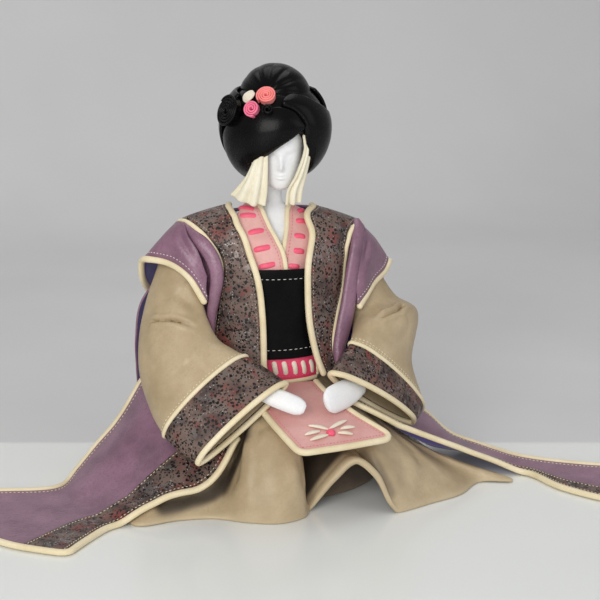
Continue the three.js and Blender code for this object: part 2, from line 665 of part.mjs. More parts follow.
const LAPELS = {
  left: [
    [-106, 231.5, -104, 219], [-80, 231, -78, 221], [-53, 228.5, -57, 218], [-35, 223, -48, 213],
    [-25.6, 212.5, -44, 203], [-26, 194, -46.5, 187], [-22.8, 171, -52.5, 170], [-21, 146, -57, 150],
    [-20.8, 121, -61, 128], [-21, 100, -62, 104]],
  right: [
    [104, 231.5, 104, 219], [56, 231, 76, 221], [31, 227.5, 53, 218], [24, 221.5, 47, 213],
    [22, 211, 47.5, 203], [21, 193, 60, 186], [21.5, 169, 61, 168], [22.5, 143, 50, 147],
    [27, 118, 42, 122], [31, 98, 42, 102]],
};
for (const [side, rows] of Object.entries(LAPELS)) {
  const grid = bodyPatch(ROBE, rows, 0, 4, 16);
  place(`lapel_${side}`, (grow) => sheet(grid, LEATHER, { grow }), FOIL);
  const edges = [["inner", true], ["outer", false]];
  for (const [edge, first] of edges) {
    const path = columnEdge(grid, first, seamOut);
    place(`lapel_${edge}_binding_${side}`, (grow) => tube(path, BINDING_RADIUS, { grow }), CREAM);
  }
  const beyond = (2 * seamOut * 180) / (Math.PI * 62) + 1;
  const sign = side === "left" ? -1 : 1;
  const panelRows = rows.slice(2, -1).map(([, , angle, z]) => [angle + sign * beyond, z, sign * 82, z]);
  const panel = bodyPatch(ROBE, panelRows, 0, 3, 8);
  place(`front_panel_${side}`, (grow) => sheet(panel, LEATHER, { grow }), PURPLE);
}

// Cap sleeves over the shoulders, from the lapel to the open mouth

const CAPS = {
  left: [
    [[-66, 36, 204], [-84, 43, 185], [-97, 43, 159]],
    [[-73, 22, 212], [-91, 28, 196], [-103.5, 29, 171]],
    [[-80, 5, 221], [-94, 8, 206], [-106, 14, 190]],
    [[-78, -12, 222.5], [-91, -7, 210], [-104, 1, 195]],
    [[-76, -21, 214], [-84, -19, 205], [-90, -14, 194]],
    [[-70, -28, 203], [-74, -29, 194], [-75.5, -28, 184]],
    [[-63, -30, 182], [-64, -32, 173], [-63, -33, 163]],
  ],
  right: [
    [[66, 36, 196], [82, 43, 177], [95, 44, 152]],
    [[74, 22, 204], [91, 28, 187], [103, 31, 163]],
    [[79, 5, 211], [93, 8, 197], [107, 14, 178]],
    [[79, -12, 208], [90, -7, 194], [100, 2, 172.5]],
    [[74, -20, 203], [82, -18, 187], [87, -11, 166]],
    [[67, -25, 189], [73, -27, 175], [77, -22, 158.5]],
    [[63, -25, 173], [66, -29, 162], [67, -31, 151]],
  ],
};
for (const [side, rows] of Object.entries(CAPS)) {
  const grid = surfaceThrough(rows.map(pointList), 4, 12);
  place(`cap_sleeve_${side}`, (grow) => sheet(grid, LEATHER, { grow }), PURPLE);
  const mouth = columnEdge(grid, false, seamOut);
  place(`cap_binding_${side}`, (grow) => tube(mouth, BINDING_RADIUS, { grow }), CREAM);
}

// Sleeves and cuffs: rings with a top point, a low point, and the fullness in front and behind

const SLEEVES = {
  left: [
    [[-71, -12, 182], [-91, 14, 190], 9, 9], [[-65, -38, 146], [-106, 8, 149], 15, 13],
    [[-58, -47, 132], [-115, -8, 114], 21, 14], [[-48, -56, 125], [-115, -38, 83], 20, 10],
    [[-38, -63, 120], [-108, -75, 63], 16, 7], [[-24, -75, 112], [-99, -90, 54], 15, 9],
    [[-13, -87, 104.5], [-89, -100, 48], 15, 9]],
  right: [
    [[70, -6, 168], [92, 14, 176], 9, 9], [[67, -21, 138], [110, 6, 145], 11, 13],
    [[62, -40, 131], [125, -3, 131], 20, 14], [[58, -49, 127], [115, -16, 92], 17, 10],
    [[54, -55, 123], [125, -28, 52], 13, 7], [[43, -67, 116], [119, -38, 49], 14, 8],
    [[31, -79, 108], [113, -46, 48], 14, 8]],
};
const ROWS_PER_RING = 2;
const CUFF_RINGS = 2;

function ringsThrough(stations) {
  const middles = stations.map(([top, low]) => at(...top).add(at(...low)).divideScalar(2));
  return stations.map(([top, low, front, behind], i) => {
    const next = middles[Math.min(i + 1, stations.length - 1)];
    const course = next.clone().sub(middles[Math.max(i - 1, 0)]);
    const span = at(...top).sub(at(...low)).divideScalar(2);
    const toward = course.cross(span).normalize();
    toward.multiplyScalar(-Math.sign(toward.y));
    return Array.from({ length: 12 }, (_, k) => {
      const angle = (2 * Math.PI * k) / 12;
      const depth = Math.sin(angle) * (k < 6 ? front : behind);
      return middles[i].clone().addScaledVector(span, Math.cos(angle)).addScaledVector(toward, depth);
    });
  });
}

for (const [side, stations] of Object.entries(SLEEVES)) {
  const grid = surfaceThrough(ringsThrough(stations), 18, ROWS_PER_RING * (stations.length - 1), true);
  const seam = grid.length - 1 - CUFF_RINGS * ROWS_PER_RING;
  const seamRow = grid[seam].map((p, c) => p.clone().add(
    grid[seam + 1][c].clone().sub(p).setLength(2 * CLEARANCE)));
  const cuff = [seamRow, ...grid.slice(seam + 1)];
  place(`cuff_${side}`, (grow) => sheet(cuff, LEATHER, { closed: true, grow }), FOIL);
  const mouth = rowEdge(cuff, false, seamOut, true);
  place(`cuff_binding_${side}`, (grow) => ringTube(mouth, BINDING_RADIUS, { grow }), CREAM);
  place(`sleeve_${side}`, (grow) => sheet(grid.slice(0, seam + 1), LEATHER, { closed: true, grow }), TAN);
}

// Robe back: a draped panel from the shoulders to the floor

const BACK_LEVELS = [
  { z: 228, a: 39, b: 18.5, y: 2, reach: 66 }, { z: 218.5, a: 66, b: 24.5, y: 3, reach: 66 },
  { z: 205, a: 75, b: 30, y: 6, reach: 66 }, { z: 180, a: 90, b: 38, y: 10.8, reach: 66 },
  { z: 150, a: 109, b: 46, y: 13.8, reach: 78 }, { z: 118, a: 113, b: 58, y: 12, reach: 80 },
  { z: 88, a: 116, b: 74, y: 12, reach: 68 }, { z: 55, a: 122, b: 91, y: 12, reach: 58 },
  { z: 25, a: 130, b: 102, y: 12, reach: 56 }, { z: 3, a: 136, b: 108, y: 12, reach: 56 },
];
const BACK_FOLDS = 5;
const FOLD_DEPTH = 5;
const backRows = BACK_LEVELS.map(({ z, a, b, y, reach }) => Array.from({ length: 21 }, (_, i) => {
  const angle = radians(mix(-reach, reach, i / 20));
  const ripple = FOLD_DEPTH * Math.cos((2 * Math.PI * BACK_FOLDS * i) / 20) * (1 - z / SHOULDER_Z);
  return at((a + ripple) * Math.sin(angle), y + (b + ripple) * Math.cos(angle), z);
}));
const backGrid = surfaceThrough(backRows, 18, 11);
place("robe_back", (grow) => sheet(backGrid, LEATHER, { grow }), PURPLE);

// Skirt and the dark underskirt beneath it

place("skirt", (grow) => sheet(skirtGrid(54, 6), LEATHER, { closed: true, grow }), TAN);
const UNDER_HALF_LENGTH = 90;
const UNDER_HALF_WIDTH = 80;
const UNDER_CENTRE_Y = -5;
const UNDER_CROWN = 0.2;
const UNDER_DROP = 4;
const underGrid = Array.from({ length: 6 }, (_, r) => Array.from({ length: 28 }, (__, c) => {
  const angle = (2 * Math.PI * c) / 28;
  const footY = UNDER_CENTRE_Y - UNDER_HALF_WIDTH * Math.cos(angle);
  const foot = at(UNDER_HALF_LENGTH * Math.sin(angle), footY, HEM_Z);
  return gownPoint(waistPoint(angle, WAIST_TOP - UNDER_DROP, layer(0)), foot, r / 5, UNDER_CROWN);
}));
place("underskirt", (grow) => sheet(underGrid, LEATHER, { closed: true, grow }), BLACK);

// Head: rings of [height, half width, front, back] about its centre, with a small nose, lips and brow

const HEAD_RINGS = [
  [-31, 5, 17, -7], [-28, 9.5, 20.5, 2], [-23, 13.2, 22.4, 10], [-20, 14.4, 23, 12], [-17, 15.4, 23.3, 14],
  [-13, 16.8, 23.6, 16], [-9, 17.9, 23.9, 18], [-4, 19, 24.2, 20], [2, 19.8, 24.5, 22], [9, 20.4, 25, 23.5],
  [16, 20.2, 24.6, 24], [23, 18, 22, 22], [29, 12, 15, 16], [33, 4, 5, 6],
];
const HEAD_SEGMENTS = 28;
const bump = (value, centre, width) => Math.exp(-(((value - centre) / width) ** 2));
function faceRelief(height, angle) {
  const nose = (3.8 * bump(height, -10, 4) + 1.8 * bump(height, -3, 5)) * bump(angle, 0, 9);
  const lips = 1.3 * bump(height, -18, 2.2) * bump(angle, 0, 14);
  const eyes = 1.4 * bump(height, 0, 4) * (bump(angle, 22, 10) + bump(angle, -22, 10));
  return nose + lips - eyes;
}
function headSolid(grow) {
  const rings = HEAD_RINGS.map(([height, width, front, back]) => (
    Array.from({ length: HEAD_SEGMENTS }, (_, i) => {
      const turn = (2 * i) / HEAD_SEGMENTS - 1;
      const angle = 180 * Math.sign(turn) * Math.abs(turn) ** 1.5;
      const depth = (front + back) / 2 + grow;
      const relief = faceRelief(height, angle);
      const y = (back - front) / 2 - (depth + relief) * Math.cos(radians(angle));
      return at((width + grow) * Math.sin(radians(angle)), y, height);
    })));
  const turn = new THREE.Matrix4().makeRotationZ(radians(HEAD_TURN));
  const bow = new THREE.Matrix4().makeRotationX(radians(HEAD_BOW));
  const pose = turn.multiply(bow).setPosition(HEAD_CENTRE);
  return loft(rings.map((ring) => ring.map((p) => p.applyMatrix4(pose))));
}
place("head", headSolid, WHITE, headGroup);

// Hair: a padded form on the head, wrapped with shaped leather

const hairHalf = (offset, above) => at(
  HAIR_HALF_WIDTH + offset, HAIR_HALF_DEPTH + offset, (above ? HAIR_RISE : HAIR_DROP) + offset);
function onHair(azimuth, elevation, offset) {
  const half = hairHalf(offset, elevation > 0);
  const [az, el] = [radians(azimuth), radians(elevation)];
  const unit = at(Math.cos(el) * Math.sin(az), -Math.cos(el) * Math.cos(az), Math.sin(el));
  return unit.multiply(half).add(HAIR_CENTRE);
}
// A patch of hair between two edges, each row [azimuth, elevation] at the lower and the upper edge
function hairPatch(rows, offset, across, along) {
  return edgeGrid(rows, across, along, (azimuth, elevation) => onHair(azimuth, elevation, offset));
}

const FACE_WINDOW = { centre: at(7, -52, 268), half: at(27, 40, 37) };
const NAPE_Z = 262;
const hairOffset = CLEARANCE + HAIR_EASE + HAIR_LEATHER / 2;

place("hair_pad", (grow) => {
  const half = (above) => ellipsoid(HAIR_CENTRE, hairHalf(grow, above), 20, 12)
    .intersect(box(HAIR_CENTRE.clone().add(at(0, 0, above ? 100 : -99.9)), at(200, 200, 200)));
  const whole = half(true).add(half(false));
  const window = ellipsoid(FACE_WINDOW.centre, FACE_WINDOW.half, 18, 12);
  const below = box(at(0, 0, NAPE_Z - 100), at(300, 300, 200));
  return whole.subtract(window).subtract(below);
}, BLACK, headGroup);

const SWEEP_ROWS = [
  [14.5, 1.5, 14, 9], [4, -6, 6, 20.5], [-9, -14, -10, 26], [-26, -26, -34, 22], [-44, -39, -60, 10],
  [-62, -50, -84, -8], [-80, -57, -98, -34], [-88, -60, -98, -50],
];
const BAND_ROWS = [
  [-4, 30, -2, 37], [8, 24, 9, 42], [17, 13, 27, 38], [21, 0, 41, 30], [24, -11, 58, 20],
  [29, -22, 72, 13], [34, -35, 84, 4], [42, -48, 96, -14], [58, -57, 100, -42],
];
const BACK_HAIR_ROWS = [
  [108, -46, 88, 42], [130, -46, 120, 44], [160, -46, 155, 46], [190, -46, 190, 46], [220, -46, 232, 44],
  [253, -42, 286, 40],
];
place("hair_front_sweep", (grow) => sheet(
  hairPatch(SWEEP_ROWS, hairOffset, 6, 14), HAIR_LEATHER, { grow }), BLACK, headGroup);
place("hair_side_band", (grow) => sheet(
  hairPatch(BAND_ROWS, hairOffset, 6, 10), HAIR_LEATHER, { grow }), BLACK, headGroup);
place("hair_back", (grow) => sheet(
  hairPatch(BACK_HAIR_ROWS, hairOffset, 8, 14), HAIR_LEATHER, { grow }), BLACK, headGroup);
place("hair_crown", (grow) => ellipsoid(
  CROWN_CENTRE, CROWN_HALF.clone().addScalar(grow), 18, 10), BLACK, headGroup);

// Cream locks hanging beside the face

const LOCKS = {
  left: [
    [[-12, -33, 283], [-18, -33, 279], [-23, -29, 274]],
    [[-12, -31, 267], [-21, -31, 265], [-28, -26, 262]],
    [[-12, -28, 251], [-24, -29, 251], [-34, -22, 253]],
    [[-13, -25, 239], [-25, -26, 240], [-39, -20, 247]],
  ],
  right: [
    [[18, -36, 296], [19.5, -35, 295], [21, -33.5, 293.5]],
    [[19.4, -34, 284], [21.7, -33, 283.6], [24, -30.5, 283]],
    [[12.8, -33, 264], [17, -31, 263.6], [21.6, -26.5, 263.5]],
    [[6.5, -30, 251], [12, -30, 250.4], [18, -26, 250]],
    [[6, -26, 239], [11, -27, 239], [17, -24, 240]],
  ],
};
for (const [side, rows] of Object.entries(LOCKS)) {
  const grid = surfaceThrough(rows.map(pointList), 4, 8);
  place(`lock_${side}`, (grow) => sheet(grid, LOCK_LEATHER, { grow }), CREAM, headGroup);
}

// Rosettes: strips wound in a flat spiral, standing on the hair

const rosettePitch = ROSETTE_STRIP + ROSETTE_GAP;
function windingEdges(turns) {
  const steps = Math.round(turns * STEPS_PER_TURN);
  return [ROSETTE_STRIP / 2, -ROSETTE_STRIP / 2].map((shift) => Array.from({ length: steps + 1 }, (_, i) => {
    const angle = (2 * Math.PI * i) / STEPS_PER_TURN;
    const radius = rosettePitch * (0.5 + i / STEPS_PER_TURN) + shift;
    return new THREE.Vector2(radius * Math.cos(angle), radius * Math.sin(angle));
  }));
}

// The least distance from the outer edge of a turn to the inner edge of the turn round it
function leastWindingGap(turns) {
  const [outer, inner] = windingEdges(turns);
  const beyond = outer.flatMap((p, i) => inner.slice(i + STEPS_PER_TURN / 2).map((q) => p.distanceTo(q)));
  return Math.min(...beyond);
}

// A geometry made about +Z, stood on the hair
function standing(geometry, { azimuth, elevation, offset }) {
  const foot = onHair(azimuth, elevation, offset);
  const half = hairHalf(offset, true);
  const facing = foot.clone().sub(HAIR_CENTRE).divide(half).divide(half).normalize();
  const turn = new THREE.Quaternion().setFromUnitVectors(at(0, 0, 1), facing);
  return solidFrom(geometry.applyQuaternion(turn).translate(foot.x, foot.y, foot.z));
}

function rosetteSolid(spot, turns, size, grow) {
  const [outer, inner] = windingEdges(turns);
  const outline = new THREE.Shape([...outer, ...inner.reverse()]);
  if (grow === 0) {
    const winding = new THREE.ExtrudeGeometry(outline, { depth: ROSETTE_HEIGHT, bevelEnabled: false });
    return standing(winding.scale(size, size, 1), spot);
  }
  const radius = (rosettePitch * (0.5 + turns) + ROSETTE_STRIP) * size;
  const room = new THREE.CylinderGeometry(radius, radius, ROSETTE_HEIGHT + 2 * grow, 16);
  return standing(room.rotateX(Math.PI / 2).translate(0, 0, ROSETTE_HEIGHT / 2), spot);
}

const onSweep = hairOffset + HAIR_LEATHER / 2 + CLEARANCE;
const ROSETTES = {
  hot_pink: { azimuth: -38, elevation: 23, offset: onSweep, turns: 2.8, size: 1, material: HOT_PINK },
  coral: { azimuth: -26, elevation: 41, offset: CLEARANCE, turns: 3.6, size: 1, material: CORAL },
  black_small: { azimuth: -21.5, elevation: 22.5, offset: onSweep, turns: 1.6, size: 1, material: BLACK },
  black_large: { azimuth: -70, elevation: 18, offset: onSweep - 1.2, turns: 4.4, size: 1.4, material: BLACK },
};
for (const [name, { material, turns, size, ...spot }] of Object.entries(ROSETTES)) {
  place(`rosette_${name}`, (grow) => rosetteSolid(spot, turns, size, grow), material, headGroup);
  const gap = leastWindingGap(turns) * size;
  console.log(`rosette_${name}: least gap between turns ${gap.toFixed(2)} mm`);
}

const BUD = { azimuth: -54, elevation: 41, offset: 2 };
const BUD_HALF = at(5.2, 6, 2);
place("petal_cream", (grow) => {
  const bud = new THREE.SphereGeometry(1, 16, 10);
  return standing(bud.scale(BUD_HALF.x + grow, BUD_HALF.y + grow, BUD_HALF.z + grow), BUD);
}, CREAM, headGroup);

export default figure;
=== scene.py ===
# %% [markdown]
# A kneeling figure in leather
#
# The object is a soft sculpture: a white figure kneels in a robe cut from many leathers. The packed
# solids give the frame, the bodies and the joints. Every garment solid is then replaced by a finer
# sheet that follows the same surface, because a flat block can't show folds, seams or edges.

# %% Load the frame
import math

import bpy
import numpy as np
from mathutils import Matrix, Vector


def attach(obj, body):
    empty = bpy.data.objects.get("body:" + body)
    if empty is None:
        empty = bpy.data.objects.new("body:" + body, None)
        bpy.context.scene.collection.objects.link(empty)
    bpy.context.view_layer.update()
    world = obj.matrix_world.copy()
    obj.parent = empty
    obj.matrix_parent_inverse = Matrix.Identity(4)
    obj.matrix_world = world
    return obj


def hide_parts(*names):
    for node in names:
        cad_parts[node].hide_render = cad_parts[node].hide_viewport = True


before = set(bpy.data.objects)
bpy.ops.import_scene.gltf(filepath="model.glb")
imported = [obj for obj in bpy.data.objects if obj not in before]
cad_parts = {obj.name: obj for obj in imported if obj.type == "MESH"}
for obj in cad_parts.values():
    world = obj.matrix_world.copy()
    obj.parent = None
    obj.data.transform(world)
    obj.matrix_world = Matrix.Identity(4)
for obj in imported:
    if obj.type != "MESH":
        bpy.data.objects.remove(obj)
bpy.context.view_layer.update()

MM = 0.001
PER_METRE = 1000

# %% [markdown]
# Studio
#
# The figure stands on a pale satin table before a grey wall. One bent sheet makes both, so no corner
# shows. The camera looks slightly down from the left, where the photograph was taken. Large soft lamps
# keep the shadows open, and their level is plain, so a colour renders about as it is written.

# %% Camera
scene = bpy.context.scene
scene.view_settings.view_transform = "Standard"
LOOK_AT = Vector((23.0, -6.2, 150.7)) * MM
VIEW_AZIMUTH, VIEW_ELEVATION, VIEW_DISTANCE = math.radians(-15), math.radians(14), 1.5
SENSOR = 36.0
MM_PER_PIXEL = 0.85
PICTURE_PIXELS = 600


def link_object(name, data):
    obj = bpy.data.objects.new(name, data)
    scene.collection.objects.link(obj)
    return obj


camera = link_object("camera", bpy.data.cameras.new("camera"))
toward_eye = Vector((math.sin(VIEW_AZIMUTH) * math.cos(VIEW_ELEVATION),
                     -math.cos(VIEW_AZIMUTH) * math.cos(VIEW_ELEVATION), math.sin(VIEW_ELEVATION)))
camera.location = LOOK_AT + VIEW_DISTANCE * toward_eye
camera.rotation_euler = (-toward_eye).to_track_quat("-Z", "Y").to_euler()
camera.data.sensor_width = SENSOR
camera.data.lens = SENSOR * VIEW_DISTANCE / (MM_PER_PIXEL * MM * PICTURE_PIXELS)
scene.camera = camera
print("camera lens:", round(camera.data.lens, 1), "mm")

# %% Lamps
# Place and size in metres, power in watts, and tone.
LAMPS = {
    "key_softbox": ((-1.0, -1.8, 0.9), 1.3, 30, "#fffcf8"),
    "fill_softbox": ((1.4, -1.3, 0.9), 1.4, 6, "#f6f7ff"),
    "top_softbox": ((0.1, 0.5, 1.7), 1.2, 7, "#ffffff"),
}
AIR_TONE, AIR_STRENGTH = "#f2f2f1", 0.42


def linear(code):
    """An sRGB hex colour as the linear colour that Blender mixes in."""
    channels = [int(code[i:i + 2], 16) / 255 for i in (1, 3, 5)]
    return tuple(c / 12.92 if c <= 0.04045 else ((c + 0.055) / 1.055) ** 2.4 for c in channels) + (1,)


for name, (place, size, power, tone) in LAMPS.items():
    light = bpy.data.lights.new(name, "AREA")
    light.size, light.energy, light.color = size, power, linear(tone)[:3]
    softbox = link_object(name, light)
    softbox.location = place
    softbox.rotation_euler = (LOOK_AT - Vector(place)).to_track_quat("-Z", "Y").to_euler()
world = bpy.data.worlds.new("studio_air")
world.use_nodes = True
air = world.node_tree.nodes["Background"].inputs
air["Color"].default_value = linear(AIR_TONE)
air["Strength"].default_value = AIR_STRENGTH
scene.world = world
print("lamps:", ", ".join(LAMPS))

# %% Table
TABLE_BEND, BEND_STEPS, WALL_Y, WALL_TOP, TABLE_HALF, TABLE_FRONT = 0.4, 13, 1.3, 2.6, 3.0, -3.0
bend = np.radians(np.linspace(0, 90, BEND_STEPS))
curved = [(WALL_Y - TABLE_BEND * (1 - math.sin(a)), TABLE_BEND * (1 - math.cos(a))) for a in bend]
profile = [(TABLE_FRONT, 0.0), *curved, (WALL_Y, WALL_TOP)]
table_points = [(x, y, z) for y, z in profile for x in (-TABLE_HALF, TABLE_HALF)]
table_faces = [(2 * i, 2 * i + 1, 2 * i + 3, 2 * i + 2) for i in range(len(profile) - 1)]
table_mesh = bpy.data.meshes.new("table")
table_mesh.from_pydata(table_points, [], table_faces)
table_mesh.polygons.foreach_set("use_smooth", [True] * len(table_faces))
table = link_object("table", table_mesh)
print("table faces:", len(table_faces))

# %% Satin laminate
PALE_TONES, GREY_TONES = ("#e2e5e3", "#eff1ef"), ("#c6c6c7", "#d8d8d9")
PALE_END, GREY_START, CLOUDS_PER_METRE = 0.062, 0.074, 3.0
TABLE_ROUGH, WALL_ROUGH = 0.22, 0.9


def add(tree, kind, inputs=None, **settings):
    """A new node, or one already there, with its settings; inputs are values or sockets that feed them."""
    node = tree.nodes.new(kind) if isinstance(kind, str) else kind
    for key, value in settings.items():
        setattr(node, key, value)
    for socket, value in (inputs or {}).items():
        if isinstance(value, bpy.types.NodeSocket):
            tree.links.new(value, node.inputs[socket])
        else:
            node.inputs[socket].default_value = value
    return node


def new_material(name):
    """A material, its tree, its shader and the object's own coordinates."""
    material = bpy.data.materials.new(name)
    material.use_nodes = True
    tree = material.node_tree
    where = add(tree, "ShaderNodeTexCoord").outputs["Object"]
    return material, tree, tree.nodes["Principled BSDF"], where


# Pale in front and grey at the back, with faint cloudiness. The wall is clear from behind, so that a
# camera there sees the figure's back.
laminate, tree, shader, where = new_material("satin_laminate")
ahead = (-math.sin(VIEW_AZIMUTH), math.cos(VIEW_AZIMUTH), 0)
far = add(tree, "ShaderNodeVectorMath", {0: where, 1: ahead}, operation="DOT_PRODUCT").outputs["Value"]
falloff = add(tree, "ShaderNodeMapRange", {"Value": far, "From Min": PALE_END, "From Max": GREY_START},
              interpolation_type="SMOOTHSTEP").outputs[0]
clouds = add(tree, "ShaderNodeTexNoise", {
    "Vector": where, "Scale": CLOUDS_PER_METRE, "Detail": 3.0}).outputs[0]
pale, grey = (add(tree, "ShaderNodeMix", {0: clouds, 6: linear(dark), 7: linear(light)},
                  data_type="RGBA").outputs[2] for dark, light in (PALE_TONES, GREY_TONES))
tone = add(tree, "ShaderNodeMix", {0: falloff, 6: pale, 7: grey}, data_type="RGBA").outputs[2]
gloss = add(tree, "ShaderNodeMapRange", {
    "Value": falloff, "To Min": TABLE_ROUGH, "To Max": WALL_ROUGH}).outputs[0]
add(tree, shader, {"Base Color": tone, "Roughness": gloss})
behind = add(tree, "ShaderNodeNewGeometry").outputs["Backfacing"]
clear = add(tree, "ShaderNodeBsdfTransparent").outputs[0]
surface = add(tree, "ShaderNodeMixShader", {0: behind, 1: shader.outputs[0], 2: clear}).outputs[0]
add(tree, tree.nodes["Material Output"], {"Surface": surface})
table_mesh.materials.append(laminate)
print("laminate nodes:", len(tree.nodes))

# %% [markdown]
# Leathers
#
# Grain leather is dyed hide: pebbles a millimetre or two across with fine creases between them, a
# slightly cloudy dye, and edges that are handled and go darker or paler. The grain is a little coarser
# than life, so that it shows at this size. Each sheet carries an attribute called edge, which is 1 on
# its rim, and the finish reads it there. An attribute called depth paints shade into the bottom of
# deep folds, with a near-black brown. One function makes every plain leather from its own tones.

# %% Grain leather
DYE_CLOUD, STRETCH_MARK, FINE_GRAIN = 34, 9, 1.1
STRETCH_SHARE, GROOVE_DARK, RIM_WEAR, FINE_SHARE = 0.012, 0.5, 0.55, 0.35
# The first tone here is painted shade: the near-black brown that the depth attribute mixes into deep folds.
PAINTED_FOLD_SHADE, LEATHER_IOR, GRAIN_HEIGHT = "#2b2522", 1.45, 0.0005


def leather(name, shade, tone, light, rim, pebble, relief, rough, sheen=0.0, shine=0.5):
    """Dyed hide: tones from dark to light, the rim's tone, pebble size in mm and gloss range."""
    material, tree, shader, where = new_material(name)
    dye = add(tree, "ShaderNodeTexNoise", {
        "Vector": where, "Scale": PER_METRE / DYE_CLOUD, "Detail": 5.0, "Roughness": 0.6}).outputs[0]
    stretch = add(tree, "ShaderNodeTexNoise", {
        "Vector": where, "Scale": PER_METRE / STRETCH_MARK, "Detail": 3.0}).outputs[1]
    warped = add(tree, "ShaderNodeMix", {0: STRETCH_SHARE, 4: where, 5: stretch},
                 data_type="VECTOR").outputs[1]
    cells = add(tree, "ShaderNodeTexVoronoi", {
        "Vector": warped, "Scale": PER_METRE / pebble, "Smoothness": 0.6},
        feature="SMOOTH_F1").outputs["Distance"]
    fine = add(tree, "ShaderNodeTexNoise", {
        "Vector": where, "Scale": PER_METRE / FINE_GRAIN, "Detail": 4.0}).outputs[0]
    ramp = add(tree, "ShaderNodeValToRGB", {0: dye})
    stops = ramp.color_ramp.elements
    stops[0].position, stops[0].color = 0.3, linear(shade)
    stops[1].position, stops[1].color = 0.72, linear(light)
    stops.new(0.5).color = linear(tone)
    groove = add(tree, "ShaderNodeMapRange", {
        "Value": cells, "From Min": 0.45, "From Max": 0.95, "To Max": GROOVE_DARK}).outputs[0]
    edge = add(tree, "ShaderNodeAttribute", attribute_name="edge").outputs["Fac"]
    handled = add(tree, "ShaderNodeMath", {0: edge, 1: RIM_WEAR}, operation="MULTIPLY").outputs[0]
    # The depth attribute paints shade into the bottom of deep folds.
    depth = add(tree, "ShaderNodeAttribute", attribute_name="depth").outputs["Fac"]
    colour = ramp.outputs[0]
    for share, code in ((groove, shade), (handled, rim), (depth, PAINTED_FOLD_SHADE)):
        colour = add(tree, "ShaderNodeMix", {0: share, 6: colour, 7: linear(code)},
                     data_type="RGBA").outputs[2]
    polish = add(tree, "ShaderNodeMapRange", {
        "Value": fine, "From Min": 0.3, "From Max": 0.7, "To Min": rough[0], "To Max": rough[1]}).outputs[0]
    height = add(tree, "ShaderNodeMath", {0: fine, 1: FINE_SHARE, 2: cells},
                 operation="MULTIPLY_ADD").outputs[0]
    bump = add(tree, "ShaderNodeBump", {"Strength": relief, "Distance": GRAIN_HEIGHT, "Height": height},
               invert=True).outputs[0]
    add(tree, shader, {"Base Color": colour, "Roughness": polish, "Normal": bump, "IOR": LEATHER_IOR,
                       "Specular IOR Level": shine, "Sheen Weight": sheen})
    return material


# Goat is pebbled with a soft gloss, lamb is smooth, and calf is even and satin. Glazed hide is black with
# a sharp highlight, and suede is a nap that has a sheen and no gloss.
purple_hide = leather("purple_goat_leather", "#6f4e62", "#886378", "#987188", "#745266", 1.9, 0.42,
                      (0.32, 0.46), shine=0.75)
tan_hide = leather("tan_lamb_leather", "#a59273", "#b5a283", "#c1af90", "#c4b494", 1.4, 0.16, (0.38, 0.5))
cream_hide = leather("cream_binding_leather", "#ddcda6", "#eadcb9", "#f2e7ca", "#e3d3ab", 1.3, 0.14,
                     (0.44, 0.58))
pink_hide = leather("pink_calf_leather", "#d49b96", "#dfaca7", "#e8bab4", "#cf948f", 1.3, 0.14, (0.46, 0.6))
hot_pink_hide = leather("hot_pink_calf_leather", "#d93663", "#e8476f", "#f0587e", "#cf305c", 1.3, 0.16,
                        (0.42, 0.56))
lace_hide = leather("hot_pink_thong_leather", "#e74a6c", "#f26280", "#f87892", "#dd4064", 1.2, 0.12,
                    (0.4, 0.52))
coral_hide = leather("coral_calf_leather", "#f88d8b", "#ff9f9b", "#ffb0ac", "#f07f7c", 1.2, 0.12, (0.46, 0.6))
rose_hide = leather("rose_calf_leather", "#ee6f92", "#f683a3", "#fb96b2", "#e66286", 1.2, 0.12, (0.46, 0.6))
petal_hide = leather("ivory_lamb_leather", "#ddd2ba", "#ebe2cf", "#f3ecdd", "#d9ccb0", 1.2, 0.12,
                     (0.48, 0.62))
lock_hide = leather("pale_blond_leather", "#e2dbc2", "#f0ead6", "#f7f3e4", "#ded6ba", 1.3, 0.12, (0.42, 0.56))
hair_hide = leather("black_glazed_leather", "#050506", "#09090a", "#0f0f11", "#09090a", 1.5, 0.1,
                    (0.22, 0.3), shine=0.16)
sash_hide = leather("black_satin_leather", "#08080a", "#0e0e10", "#151517", "#121214", 1.4, 0.12,
                    (0.48, 0.6), shine=0.08)
lining_hide = leather("violet_suede_lining", "#453f8c", "#544ba0", "#665cb0", "#4d4694", 1.0, 0.3,
                      (0.8, 0.92), 0.3)
umber_hide = leather("umber_suede", "#6b5e52", "#7d6f61", "#8b7c6d", "#80725f", 1.0, 0.3,
                     (0.8, 0.92), 0.2, 0.3)
print("leathers:", len(bpy.data.materials) - 1)

# %% [markdown]
# Crackled foil leather
#
# The lapels, cuffs and train bands are hide with a foil pressed on. Stretching broke the foil, so black
# hide shows through in dots: large ones about three millimetres apart, and small ones crowded between
# them in places. The foil is taupe and brick red in patches. In streaks it keeps some metal and gloss,
# and there its colour gets a grey painted sheen and pale flecks that are painted glints of the metal.

# %% Foil leather
BEND_MARK, BEND_SHARE = 3, 0.0022
# Size in mm, detail and distortion of each cloud, and the range in which it goes from none to all.
FOIL_CLOUDS = {"sheen_streak": (12, 3.0, 1.2, 0.53, 0.63), "crowd": (9, 2.0, 0.4, 0.4, 0.5),
               "brick": (17, 4.0, 0.8, 0.52, 0.68)}
